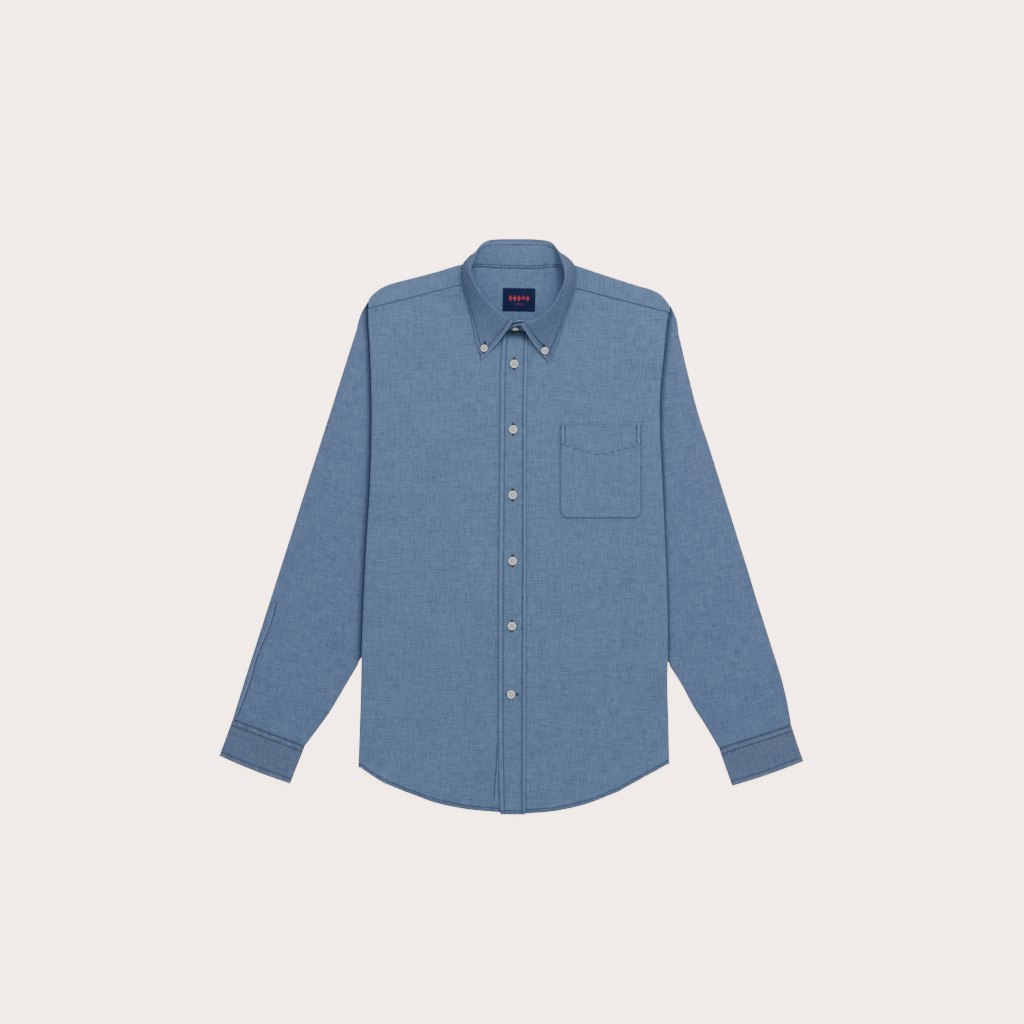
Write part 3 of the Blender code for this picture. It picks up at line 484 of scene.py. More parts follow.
def cut_of(points):
    """Flat size and area of the cloth in a grid of points."""
    width = float(running(points, 1)[:, -1].max()) * MM
    length = float(running(points, 0)[-1].max()) * MM
    return (width, length), surface_area(points)


def no_marks(shape):
    """Empty marks on a grid: how dark (stitch lines, partly painted shade), how pale (painted
    highlight) and how shaded (painted shade) each point is.
    """
    return np.zeros((*shape, 3))


def weave_at(x, y, shift=(0.0, 0.0)):
    """Weave directions straight with the body; a shift keeps slubs from crossing a seam."""
    return np.stack([x + shift[0], y + shift[1]], 2)


# --- sewing ---
STITCH_LONG = 2.3
STITCH_THICK = 0.46
STITCH_PITCH = 3.0
STITCH_SINK = 0.10
STITCH_FLAT = 0.8                       # a stitch is this much lower than it is wide
STITCH_VARIES = (0.86, 1.1)             # sizes and turns differ a little, as sewn
STITCH_TURN = 0.05
STEP_AHEAD = 0.05                       # a path's direction is read this far on, in points
RANDOM_SEED = 11
STITCH_SIZE = (STITCH_LONG, STITCH_THICK, STITCH_THICK * STITCH_FLAT)
luck = np.random.default_rng(RANDOM_SEED)


def one_stitch():
    """Model a single stitch once: its points about the origin, long side on X, and faces."""
    bpy.ops.mesh.primitive_uv_sphere_add(segments=6, ring_count=4, radius=0.5)
    model = bpy.context.object
    with editing(model):
        bpy.ops.transform.rotate(value=math.pi / 2, orient_axis="Y", center_override=(0, 0, 0))
        bpy.ops.transform.resize(value=STITCH_SIZE, center_override=(0, 0, 0))
    points = np.array([vertex.co[:] for vertex in model.data.vertices])
    faces = [tuple(face.vertices) for face in model.data.polygons]
    bpy.data.objects.remove(model, do_unlink=True)
    return points, faces


STITCH_POINTS, STITCH_FACES = one_stitch()


def walk(path, pitch):
    """Even places along a path: the numbers of its points, as fractions."""
    path = np.asarray(path, float)
    run = np.concatenate([[0.0], np.cumsum(np.linalg.norm(np.diff(path, axis=0), axis=1))])
    count = max(1, int(run[-1] / pitch))
    places = (np.arange(count) + 0.5) * run[-1] / count
    return np.interp(places, run, np.arange(len(run)))


def along(values, at):
    """Linear reading of a row of vectors at fractional numbers."""
    values = np.asarray(values, float)
    return np.stack([np.interp(at, np.arange(len(values)), values[:, k]) for k in range(3)], 1)


def thread_piece(name, points, faces, finish):
    """A piece of raised thread, from points in millimetres."""
    mesh = bpy.data.meshes.new(name)
    mesh.from_pydata((np.asarray(points) * MM).tolist(), [], faces)
    piece = link_piece(name, mesh)
    only(piece)
    bpy.ops.object.shade_smooth()
    trim(piece, finish)
    return piece


def upward(path):
    """A path to sew along on cloth that lies flat: its points, and up at each."""
    return path, np.tile((0.0, 0.0, 1.0), (len(path), 1))


def sew(name, runs, finish, pitch=STITCH_PITCH):
    """Rows of stitches on paths: each run is (points, outward directions)."""
    all_points, all_faces = [], []
    base = 0
    for path, out in runs:
        path, out = np.asarray(path, float), np.asarray(out, float)
        at = walk(path, pitch)
        place = along(path, at)
        ahead = along(path, np.minimum(at + STEP_AHEAD, len(path) - 1))
        behind = along(path, np.maximum(at - STEP_AHEAD, 0))
        x_axis = ahead - behind
        x_axis /= np.linalg.norm(x_axis, axis=1, keepdims=True)
        z_axis = along(out, at)
        y_axis = np.cross(z_axis, x_axis)
        y_axis /= np.linalg.norm(y_axis, axis=1, keepdims=True)
        turn = luck.normal(0.0, STITCH_TURN, len(at))[:, None]
        x_axis, y_axis = x_axis + y_axis * turn, y_axis - x_axis * turn
        z_axis = np.cross(x_axis, y_axis)
        size = luck.uniform(*STITCH_VARIES, len(at))[:, None, None]
        local = STITCH_POINTS[None] * size
        placed = (place[:, None] + local[..., :1] * x_axis[:, None]
                  + local[..., 1:2] * y_axis[:, None]
                  + (local[..., 2:] + STITCH_SINK) * z_axis[:, None])
        all_points.append(placed.reshape(-1, 3))
        for _ in at:
            all_faces.extend(tuple(v + base for v in face) for face in STITCH_FACES)
            base += len(STITCH_POINTS)
    return thread_piece(name, np.concatenate(all_points), all_faces, finish)


# --- fronts ---
CLOTH_PITCH = 3.4
HEM_STITCH = 5.4                        # stitched this far above the hem's edge
HEM_ROWS = (12.0, 9.0, 7.2, 6.2, 5.4, 4.6, 3.2, 1.8, 0.8, 0.25, 0.0)
SEAM_ROWS = (0.0, 0.4, 1.0, 2.0, 4.0)
FOLD_STEPS = 12
LIP_STEPS = 4
ALLOWANCE_REACH = (-5.0, -2.0, -0.5, 1.0, 3.0, 6.0)
ALLOWANCE_DROP = 1.15
ALLOWANCE_WALL = 0.8
ALLOWANCE_COLUMNS = 70
ALLOWANCE_PROBE = (2, 30)               # a point on its upper side
NECK_SHARE = 0.5                        # the neck takes this share of a front's columns
FRONT_WIDE = 215.0                      # a front's columns are spaced over this width
FRONT_LONG_AT = 110.0                   # and its rows over its length at this reach
CENTRE_COLUMNS = (0.0, 0.4, 1.2)
HEM_TURN = 7.2                          # inner edge of the rolled hem
HEM_GROW_REACH = 60.0
BODY_CREASES = listed(Crease,
    (-176.0, -214.0, -206.0, -345.0, 7.0, 1.1), (-112.0, 262.0, -118.0, 120.0, 9.0, 0.5),
    (-92.0, 196.0, -66.0, 168.0, 6.0, 0.4), (-38.0, -20.0, -64.0, -128.0, 12.0, 0.5),
    (-120.0, -60.0, -182.0, -108.0, 11.0, 0.5), (-190.0, 40.0, -110.0, 62.0, 10.0, 0.4),
    (-56.0, -250.0, -150.0, -226.0, 12.0, 0.5), (-20.0, -330.0, -96.0, -356.0, 9.0, 0.5),
    (48.0, 246.0, 118.0, 249.0, 4.5, 0.6), (212.0, 152.0, 184.0, 62.0, 5.0, 0.9),
    (198.0, 236.0, 150.0, 196.0, 9.0, 0.5), (206.0, -96.0, 132.0, -60.0, 10.0, 0.5),
    (40.0, -30.0, 120.0, -66.0, 12.0, 0.4), (60.0, -236.0, 170.0, -262.0, 12.0, 0.6),
    (204.0, -168.0, 176.0, -300.0, 9.0, 0.7), (40.0, -374.0, 122.0, -352.0, 7.0, 0.5))
HEM_GROWS = 0.9                         # the cloth's own roundness past the solid's edge
SIDE_GROWS = 0.6
PLEAT_COLUMNS = (0.0, 0.4, 1.2, *np.arange(4.5, 35.5, 3.1), *np.arange(36.0, 45.1, 0.75))
PLEAT_LINE = ((-382.9, -330.0, -300.3), (-24.0, -20.6, -19.8))
PLEAT_ENDS = ((-390.0, -376.0), (-308.0, -294.0))
LOW_WAVES = 0.16                        # the cloth is pressed, not glassy
PLACKET_CLEAR = (24.0, 40.0)            # no creases under the placket


def outside_neck(x, y):
    away_x, away_y = x - NECK_CENTRE[0], y - NECK_CENTRE[1]
    length = math.hypot(away_x, away_y)
    return x + away_x / length * NECK_CLEARANCE, y + away_y / length * NECK_CLEARANCE


def neck_points(side):
    """Plan points of one front's neck edge, from its centre edge past the shoulder seam."""
    ribs = COLLAR[:6] if side == "right" else list(reversed(COLLAR[-6:]))
    points = [outside_neck(rib.neck_x, rib.neck_y) for rib in ribs]
    centre_x = HIDDEN_EDGE_X if side == "right" else PLACKET[0].edge
    return [(centre_x, points[0][1] - NECK_CENTRE_DROP)] + points


def neck_edge(side, t):
    points = neck_points(side)
    at = t * (len(points) - 2)
    return tuple(through([point[axis] for point in points], at) for axis in (0, 1))


def front_top(side, u):
    """Upper edge of a front: along the centre, round the neck, out to the armhole."""
    u = np.asarray(u, float)
    shoulder = SHOULDER_RIGHT if side == "right" else SHOULDER_LEFT
    neck_x, neck_y = neck_edge(side, np.minimum(u / NECK_SHARE, 1.0))
    t = np.clip((u - NECK_SHARE) / (1.0 - NECK_SHARE), 0.0, 1.0)
    row = row_at(shoulder, t * (len(shoulder) - 1))
    end = shoulder[-1]
    inward = FOLD if side == "right" else -FOLD
    to_fold = side_x(end.seam_y, side) + inward - end.seam_x
    on_neck = u <= NECK_SHARE
    return (np.where(on_neck, neck_x, row.seam_x + to_fold * t),
            np.where(on_neck, neck_y, row.seam_y - SEAM / 2))


def placket_edge(y):
    return read_table(PLACKET, "y", "edge", y)


def placket_seam(y):
    return read_table(PLACKET, "y", "seam", y)


def hidden_edge(y):
    return np.full(np.shape(y), HIDDEN_EDGE_X)


def front_plan(side, centre_x, u, v):
    top_y = front_top(side, 0.0)[1]
    side_start = front_top(side, 1.0)
    side_end_y = hem_y(side_x(HEM_SIDE_Y, side), side)
    start_hem = hem_y(centre_x(HEM_CENTRE_Y), side)
    inset = FOLD if side == "right" else -FOLD

    def top(s):
        return front_top(side, s)

    def centre(t):
        y = mix(top_y, start_hem, t)
        return centre_x(y), y

    def fold(t):
        y = mix(side_start[1], side_end_y, t)
        return side_x(y, side) + inset, y

    def hem(s):
        x = mix(centre_x(HEM_CENTRE_Y), fold(1.0)[0], s)
        return x, hem_y(x, side)

    return patch(top, hem, centre, fold, u, v)


def hem_profile(distance, x, y):
    """Height and marks of the rolled hem by the distance from its edge: dark along the stitch
    line, partly painted shade, painted shade on the band between it and the edge and at the
    rolled edge, and painted highlights on its turn and puckers.
    """
    pucker = waves(x, y, 11.0)
    height = (0.26 * dent(distance - HEM_TURN, 0.9) - 0.40 * dent(distance - HEM_STITCH, 0.7)
              + (0.20 + 0.24 * pucker) * dent(distance - 3.0, 1.5)
              - 0.55 * dent(distance, 0.55))
    dark = np.maximum.reduce([
        0.75 * dent(distance - HEM_STITCH, 0.8), 0.55 * dent(distance, 0.9),
        0.16 * (1.0 - ramp(distance, HEM_STITCH, HEM_STITCH + 1.0))])
    pale = np.maximum(0.25 * dent(distance - HEM_TURN, 0.9) * (0.6 + 0.4 * pucker),
                      0.30 * np.maximum(pucker, 0.0) * dent(distance - 3.0, 1.3))
    return height, dark, pale


def front_grid(side, centre_x):
    """Plan points of one front, the distances of its rows from its top, and its length."""
    near_centre = PLEAT_COLUMNS if side == "right" else CENTRE_COLUMNS
    columns = stations(FRONT_WIDE, CLOTH_PITCH, near_centre) / FRONT_WIDE
    length = abs(front_top(side, 0.5)[1] - hem_y(FRONT_LONG_AT, side))
    rows = stations(length, CLOTH_PITCH, SEAM_ROWS, HEM_ROWS)
    from_top = rows[:, None]
    from_hem = length - from_top
    u, v = np.meshgrid(columns, rows / length)
    share = ramp(from_top, length * 0.08, length * 0.92)
    for _ in range(2):
        x, y = front_plan(side, centre_x, u, v)
        tall = np.hypot(x[-1] - x[0], y[0] - y[-1])
        v = mix(from_top / tall, 1.0 - from_hem / tall, share)
    x, y = front_plan(side, centre_x, u, v)
    y = y - HEM_GROWS * (1.0 - ramp(from_hem, 0.0, HEM_GROW_REACH))
    return x, y, rows, length


def front_relief(side, x, y, from_top, from_hem):
    """Height and marks of one front's upper layer: the hem's marks, dark along its top seam,
    partly painted shade, painted shade in the pleat's fold and a painted highlight on the
    pleat's ridge.
    """
    hem_height, dark, pale = hem_profile(from_hem, x, y)
    free = ramp(np.abs(x), *PLACKET_CLEAR)
    lifted = (crease_height(BODY_CREASES, x, y) + LOW_WAVES * waves(x, y, 62.0)
              + 0.5 * LOW_WAVES * waves(y, x, 23.0)) * free
    lifted *= ramp(np.abs(side_x(y, side) - x), FOLD, 14.0)
    lifted *= ramp(from_top, 0.0, 14.0) * ramp(from_hem, 6.0, 30.0)
    off = x - np.interp(y, *PLEAT_LINE)
    pleat = (side == "right") * ramp(y, *PLEAT_ENDS[0]) * (1.0 - ramp(y, *PLEAT_ENDS[1]))
    lifted = (np.maximum(lifted, -0.12)
              + pleat * (0.30 * dent(off - 2.0, 1.3) - 0.25 * dent(off, 0.7)))
    z = body_top(x, y, side) + lifted + hem_height - 0.35 * dent(from_top, 0.8)
    marks = no_marks(x.shape)
    marks[..., 0] = np.maximum(np.maximum(dark, 0.3 * dent(from_top, 0.7)),
                               0.8 * pleat * dent(off, 0.8))
    marks[..., 1] = np.maximum(pale, 0.3 * pleat * dent(off - 2.2, 1.2))
    return z, marks


def fold_under(x, y, z, outward_x):
    """Points and weave directions round the folded side and in along the lip."""
    arc, around = [], []
    for k in range(1, FOLD_STEPS + 1):
        angle = math.pi * k / FOLD_STEPS
        arc.append(np.stack([x + outward_x * (FOLD + SIDE_GROWS) * math.sin(angle), y,
                             z - FOLD + FOLD * math.cos(angle)], 1))
        around.append(FOLD * math.pi * k / FOLD_STEPS)
    for k in range(1, LIP_STEPS + 1):
        arc.append(np.stack([x - outward_x * LIP * k / LIP_STEPS, y, z - 2 * FOLD], 1))
        around.append(FOLD * math.pi + LIP * k / LIP_STEPS)
    arc = np.stack(arc, 1)
    arc[..., 2] = np.maximum(arc[..., 2], 0.0)
    around = np.array(around)
    weave = np.stack([x[:, None] + outward_x * around,
                      np.repeat(y[:, None], len(around), 1)], 2)
    return arc, weave


def front_cloth(side, centre_x):
    """Points, weave directions and marks of one front, from its centre edge to its lip."""
    x, y, rows, length = front_grid(side, centre_x)
    from_top = rows[:, None]
    z, marks = front_relief(side, x, y, from_top, length - from_top)
    outward_x = -1.0 if side == "right" else 1.0
    arc, turned = fold_under(x[:, -1], y[:, -1], z[:, -1], outward_x)
    points = np.concatenate([np.stack([x, y, z], 2), arc], 1)
    weave = np.concatenate([weave_at(x, y), turned], 1)
    marks = np.concatenate([marks, np.repeat(marks[:, -1:], arc.shape[1], 1)], 1)
    return points, weave, marks, x.shape[1], length - rows


def lay_front(side, centre_x, finish):
    """One front; gives its points, its hem's stitched row and its upper layer's columns."""
    points, weave, marks, columns, from_hem = front_cloth(side, centre_x)
    piece = lay_piece(f"front_{side}_cloth", points, weave, marks,
                      probe=points[len(points) // 2, columns // 2])
    allowance = seam_allowance(side, finish)
    dress(piece, finish, f"front_{side}", cut_of(points),
          [allowance])
    return points, nearest(from_hem, HEM_STITCH), columns


def seam_allowance(side, finish):
    """The front's turned edge, under its seam with the yoke."""
    u = np.linspace(NECK_SHARE + 0.01, 1.0, ALLOWANCE_COLUMNS)
    x, y = front_top(side, u)
    reach = np.array(ALLOWANCE_REACH)[:, None]
    x, y = x + 0.0 * reach, y + reach
    z = body_top(x, y - reach, side) - ALLOWANCE_DROP
    points = np.stack([x, y, z], 2)
    piece = lay_piece(f"front_{side}_allowance", points, weave_at(x, y), no_marks(x.shape),
                      ALLOWANCE_WALL, probe=points[ALLOWANCE_PROBE])
    trim(piece, finish)
    return piece


def on_front(x, y, lift=WALL + SEAM):
    """A point on a piece that lies on the left front."""
    return body_top(x, y, "left") + lift


# --- button placket ---
PLACKET_WIDE = 37.6
# Painted shade that the collar casts over the placket's top.
COLLAR_SHADE = 0.85
COLLAR_SHADE_REACH = 15.0
PLACKET_STITCH = (6.6, PLACKET_WIDE - 5.3)
PLACKET_COLUMNS = np.array([
    0.0, 0.15, 0.5, 1.2, 2.6, 4.2, 5.6, 6.6, 7.6, 9.5, 12.5, 16.0, 19.5, 23.0, 26.5,
    29.5, 31.3, 32.3, 33.3, 34.6, 35.8, 36.6, 37.2, 37.45, 37.6])
PLACKET_PUFFS = (3.6, 35.2)             # the cloth rises here, outside each row of stitches
PLACKET_WEAVE = (61.0, 17.0)


def lay_placket(finish):
    """The placket; gives its points, its stitched columns and its hem's stitched row."""
    top_y = float(neck_edge("left", 0.0)[1])
    low_y = float(hem_y(0.0, "left")) - HEM_GROWS
    length = top_y - low_y
    down = stations(length, CLOTH_PITCH, (0.0, 0.5, 1.5), HEM_ROWS)[:, None]
    across = PLACKET_COLUMNS[None, :]
    y = top_y - down + 0.0 * across
    x = mix(placket_edge(y), placket_seam(y), across / PLACKET_WIDE)
    from_hem = length - down
    hem_height, dark, pale = hem_profile(from_hem, x, y)
    pucker = waves(x * 0.5, y, 13.0)
    left, right = across - PLACKET_STITCH[0], across - PLACKET_STITCH[1]
    puff_left, puff_right = PLACKET_PUFFS
    height = (-0.30 * dent(left, 0.6) - 0.40 * dent(right, 0.7)
              + (0.16 + 0.20 * pucker) * (dent(across - puff_left, 1.8)
                                          + dent(across - puff_right, 1.4))
              + 0.08 * waves(x, y, 40.0) - 0.5 * dent(across, 0.35)
              - 0.5 * dent(across - PLACKET_WIDE, 0.35))
    points = np.stack([x, y, on_front(x, y) + height + hem_height], 2)
    marks = no_marks(x.shape)
    # Dark along both stitch lines, partly painted shade, and painted shadow along both edges;
    # the pale puffs are painted highlights.
    line = np.maximum(0.70 * dent(left, 0.7), dent(right, 0.9) * (0.75 + 0.25 * pucker))
    edge = np.maximum(0.6 * dent(across, 0.5), 0.65 * dent(across - PLACKET_WIDE, 0.6))
    marks[..., 0] = np.maximum(np.maximum(line, edge), dark)
    marks[..., 1] = np.maximum.reduce([
        pale, 0.30 * dent(across - 3.4, 1.4) * (0.5 + 0.5 * pucker),
        0.40 * dent(across - puff_right, 1.3) * (0.5 + 0.5 * pucker)])
    marks[..., 2] = COLLAR_SHADE * (1.0 - ramp(down + 0.0 * across, 1.0, COLLAR_SHADE_REACH))
    piece = lay_piece("placket_cloth", points, weave_at(x, y, PLACKET_WEAVE), marks,
                      probe=points[len(points) // 2, 10])
    dress(piece, finish, "placket", cut_of(points))
    stitched = [nearest(PLACKET_COLUMNS, place) for place in PLACKET_STITCH]
    return points, stitched, nearest(from_hem[:, 0], HEM_STITCH)


# --- chest pocket ---
POCKET_EDGE_STATIONS = (0.0, 0.2, 0.7, 1.5, 2.2, 3.4, 5.0, 6.4, 7.2, 8.0, 9.2)
BAR_INSET = 7.2                         # inner line of the bars at the pocket's top corners
BAR_TALL = 26.0
POCKET_STITCH = 1.5
POCKET_HEM = 27.0                       # the turned-down top, its stitch falling to a point
POCKET_POINT = 15.0
POCKET_PITCH = 2.6
POCKET_STITCH_PITCH = 2.7
POCKET_GAPE = (0.30, 16.0)              # the open top's middle stands off, over this depth
POCKET_WEAVE = (33.0, -71.0)


def pocket_cloth():
    """Plan points of the pocket, and each one's distance across and down its cloth."""
    height = POCKET_Y[1] - POCKET_Y[0]
    near = POCKET_EDGE_STATIONS
    a, d = np.meshgrid(stations(POCKET_WIDE, POCKET_PITCH, near, near[::-1]),
                       stations(height, POCKET_PITCH, near, near[::-1]))
    low = np.clip(d - (height - POCKET_CORNER), 0.0, POCKET_CORNER)
    inset = POCKET_CORNER - np.sqrt(POCKET_CORNER ** 2 - low ** 2)
    x = mix(POCKET_X[0] + inset, POCKET_X[1] - inset, a / POCKET_WIDE)
    return x, POCKET_Y[1] - d, a, d


def pocket_border(x, y):
    """Distance inside the pocket's sides and round bottom."""
    dx = POCKET_WIDE / 2 - np.abs(x - POCKET_MIDDLE)
    dy = y - POCKET_Y[0]
    corner = (dx < POCKET_CORNER) & (dy < POCKET_CORNER)
    round_gap = POCKET_CORNER - np.hypot(POCKET_CORNER - dx, POCKET_CORNER - dy)
    return np.where(corner, round_gap, np.minimum(dx, dy))


def pocket_hem_line(x):
    """Y of the stitched line that holds the pocket's turned top, pointed at the middle."""
    reach = np.abs(x - POCKET_MIDDLE) / (POCKET_WIDE / 2)
    return POCKET_Y[1] - POCKET_HEM - POCKET_POINT * (1.0 - reach)


def pocket_top(x, y):
    """Height of the pocket's outer side."""
    border = pocket_border(x, y)
    pucker = waves(x, y, 9.0)
    hem = y - pocket_hem_line(x)
    gape, depth = POCKET_GAPE
    height = ((0.10 + 0.14 * pucker) * dent(border - 3.0, 1.6)
              - 0.35 * dent(border - POCKET_STITCH, 0.5) - 0.55 * dent(border, 0.35)
              - 0.28 * dent(hem, 0.8) + 0.12 * pucker * dent(hem - 2.2, 1.6)
              + gape * ramp(y, POCKET_Y[1] - depth, POCKET_Y[1])
              * (1.0 - (2.0 * (x - POCKET_MIDDLE) / POCKET_WIDE) ** 2)
              + 0.10 * waves(x, y, 48.0) * ramp(border, 2.0, 12.0))
    return on_front(x, y) + height


def lay_pocket(finish):
    x, y, a, d = pocket_cloth()
    border = pocket_border(x, y)
    hem = y - pocket_hem_line(x)
    sides = np.minimum(a, POCKET_WIDE - a)
    beside_bar = 1.0 - ramp(d, BAR_TALL - 1.0, BAR_TALL + 0.5)
    pucker = waves(x, y, 6.0)
    marks = no_marks(x.shape)
    # Dark along its stitching, partly painted shade, and painted shade at its edge; the pale
    # marks beside its border and bars are painted highlights on the puckers.
    marks[..., 0] = np.maximum.reduce([
        0.45 * dent(border - POCKET_STITCH, 0.6), 0.35 * dent(border, 0.4),
        0.40 * dent(hem, 0.9), 0.85 * beside_bar * dent(sides - BAR_INSET, 0.8),
        0.85 * beside_bar * dent(sides - POCKET_STITCH, 0.7),
        0.6 * dent(d - BAR_TALL, 0.8) * (sides < BAR_INSET)])
    marks[..., 1] = np.maximum(
        0.22 * dent(border - 3.2, 1.2) * (0.5 + 0.5 * pucker),
        beside_bar * 0.55 * dent(sides - 4.4, 1.5) * (0.6 + 0.6 * pucker))
    points = np.stack([x, y, pocket_top(x, y)], 2)
    piece = lay_piece("pocket_cloth", points, weave_at(x, y, POCKET_WEAVE), marks)
    dress(piece, finish, "pocket", cut_of(points))


def path_on(xy, top):
    """A path to sew along, from plan points and a height function."""
    xy = np.asarray(xy, float)
    return upward(np.column_stack([xy, top(xy[:, 0], xy[:, 1])]))


def straight(x0, y0, x1, y1, step=1.0):
    count = max(2, int(math.hypot(x1 - x0, y1 - y0) / step) + 1)
    return np.column_stack([np.linspace(x0, x1, count), np.linspace(y0, y1, count)])


def pocket_outline(inset):
    """Plan path down one side, round the bottom and up the other, that far inside."""
    left, right = POCKET_X[0] + inset, POCKET_X[1] - inset
    low, high = POCKET_Y[0] + inset, POCKET_Y[1] - 0.6
    radius = POCKET_CORNER - inset
    turn = np.linspace(0.0, math.pi / 2, 9)
    corner_left = np.column_stack([left + radius * (1 - np.cos(turn)),
                                   low + radius * (1 - np.sin(turn))])
    corner_right = np.column_stack([right - radius * (1 - np.sin(turn)),
                                    low + radius * (1 - np.cos(turn))])
    return np.concatenate([straight(left, high, left, low + radius), corner_left,
                           straight(left + radius, low, right - radius, low), corner_right,
                           straight(right, low + radius, right, high)])


def sew_pocket(thread):
    """Round the pocket, along its turned top and down the bars at its top corners."""
    low = POCKET_Y[1] - BAR_TALL
    bars = []
    for edge, way in ((POCKET_X[0] + POCKET_STITCH, 1.0), (POCKET_X[1] - POCKET_STITCH, -1.0)):
        inner = edge + way * (BAR_INSET - POCKET_STITCH)
        bars.append(straight(inner, POCKET_Y[1] - 0.8, inner, low))
        bars.append(straight(edge, low, inner, low))
    side_y = POCKET_Y[1] - POCKET_HEM
    point_y = side_y - POCKET_POINT
    hem = np.concatenate([straight(POCKET_X[0] + 2.0, side_y, POCKET_MIDDLE, point_y),
                          straight(POCKET_MIDDLE, point_y, POCKET_X[1] - 2.0, side_y)])
    lines = (pocket_outline(POCKET_STITCH), hem, *bars)
    sew("pocket_stitches", [path_on(line, pocket_top) for line in lines], thread,
        pitch=POCKET_STITCH_PITCH)


# --- back and yoke ---
BACK_ROWS = 96
BACK_COLUMNS = 52
BACK_ROUNDS = 4                         # its plan settles to the hem and the sides in these
BACK_WEAVE = (-45.0, 9.0)
YOKE_LOW_ROWS = 12
YOKE_SIDE_STEPS = 60
YOKE_MIDDLE_STEPS = 44
YOKE_FOLD_STEPS = 12
YOKE_TOP = (0.0, 0.16, 0.32, 0.48, 0.62, 0.74, 0.84, 0.90, 0.94, 0.97, 0.99, 1.0)
YOKE_TUCK = 1.8                         # the yoke goes on this far under the stand
YOKE_SEAM_DARK = (0.25, 0.22, 0.30)     # on the last three columns, to the front seam
YOKE_WEAVE = 19.0
YOKE_TURN = 60.0                        # cloth at each end that the laid width leaves out
YOKE_LONG = 0.150                       # metres
YOKE_STITCH_COLUMN = -3


def armhole_edge(side, y):
    inward = 1.0 if side == "right" else -1.0
    beside_lip = side_x(y, side) + inward * (FOLD + LIP + SEAM)
    table = SLEEVE_RIGHT if side == "right" else SLEEVE_LEFT
    beside_sleeve = read_table(table, "in_y", "in_x", y) + inward * 2 * SEAM
    seam_end = YOKE_SEAM_X[0] if side == "right" else YOKE_SEAM_X[1]
    pick = np.maximum if side == "right" else np.minimum
    upper = mix(pick(beside_lip, beside_sleeve), seam_end, ramp(y, *BACK_WIDENS))
    return np.where(y < ARMPIT_RISE[1], beside_lip, upper)


def lay_back(finish):
    u, v = np.meshgrid(np.linspace(0, 1, BACK_COLUMNS), np.linspace(0, 1, BACK_ROWS))
    y = np.full(u.shape, YOKE_SEAM_Y)
    for _ in range(BACK_ROUNDS):
        x = mix(armhole_edge("right", y), armhole_edge("left", y), u)
        low = np.where(x < 0, hem_y(x, "right"), hem_y(x, "left")) + BACK_HEM_INSET
        y = mix(YOKE_SEAM_Y - SEAM, low, v)
    points = np.stack([x, y, np.zeros_like(x)], 2)
    marks = no_marks(x.shape)
    from_hem = (1.0 - v) * (YOKE_SEAM_Y - low)
    # Dark along the hem's stitch line, partly painted shade in its groove.
    marks[..., 0] = 0.4 * dent(from_hem - HEM_STITCH, 0.9)
    piece = lay_piece("back_cloth", points, weave_at(x, y, BACK_WEAVE), marks, up=False)
    dress(piece, finish, "back", cut_of(points))


def yoke_columns(table, side, steps):
    """Profiles from the back seam, under the shoulder, round its fold, to the front seam."""
    t = np.linspace(0.0, 1.0, steps + 1)
    row = row_at(table, t * (len(table) - 1))
    top = mix(*SHOULDER_FOLD_TOP, ramp(t, *SHOULDER_FOLD_RISE))
    radius = (top / 2)[:, None]
    fold = np.stack([row.fold_x, row.fold_y], 1)
    seam = np.stack([row.seam_x, row.seam_y + SEAM / 2], 1)
    low = np.stack([row.low_x, np.full(len(t), YOKE_SEAM_Y)], 1)
    in_low = fold + unit(low - fold) * radius
    in_top = fold + unit(seam - fold) * radius
    points = []
    for k in range(YOKE_LOW_ROWS + 1):
        flat = mix(low, in_low, k / YOKE_LOW_ROWS)
        points.append(np.column_stack([flat, np.zeros(len(t))]))
    for k in range(1, YOKE_FOLD_STEPS):
        angle = math.pi * k / YOKE_FOLD_STEPS
        centre = mix(in_low, in_top, k / YOKE_FOLD_STEPS)
        edge = mix(centre, fold, math.sin(angle))
        points.append(np.column_stack([edge, radius[:, 0] * (1.0 - math.cos(angle))]))
    seam_height = body_top(seam[:, 0], seam[:, 1], side)
    for k in YOKE_TOP:
        flat = mix(in_top, seam, k)
        gap = np.linalg.norm(seam - flat, axis=1)
        height = mix(top, seam_height, k)
        pucker = waves(flat[:, 0], flat[:, 1], 10.0)
        height = (height - 0.25 * dent(gap, 0.5) - 0.18 * dent(gap - 1.6, 0.5)
                  + 0.12 * pucker * dent(gap - 3.0, 2.0))
        points.append(np.column_stack([flat, height]))
    return np.stack(points, 1)


def yoke_middle(right, left):
    """The flat back of the yoke between its two shoulders, up under the collar stand."""
    t = np.linspace(0.0, 1.0, YOKE_MIDDLE_STEPS + 1)
    back_ribs = COLLAR[7:14]
    rib = row_at(back_ribs, t * (len(back_ribs) - 1))
    low_x = mix(right[0, 0, 0], left[0, 0, 0], t)
    k = np.linspace(0.0, 1.0, YOKE_LOW_ROWS + 1)[None, :]
    x = mix(low_x[:, None], rib.neck_x[:, None], k)
    tucked = YOKE_TUCK * np.minimum(1.0, 20.0 * np.minimum(t, 1.0 - t))
    y = mix(YOKE_SEAM_Y, (rib.neck_y + tucked)[:, None], k)
    middle = np.stack([x, y, np.zeros_like(x)], 2)
    middle[0] = right[0, :YOKE_LOW_ROWS + 1]
    middle[-1] = left[0, :YOKE_LOW_ROWS + 1]
    return middle


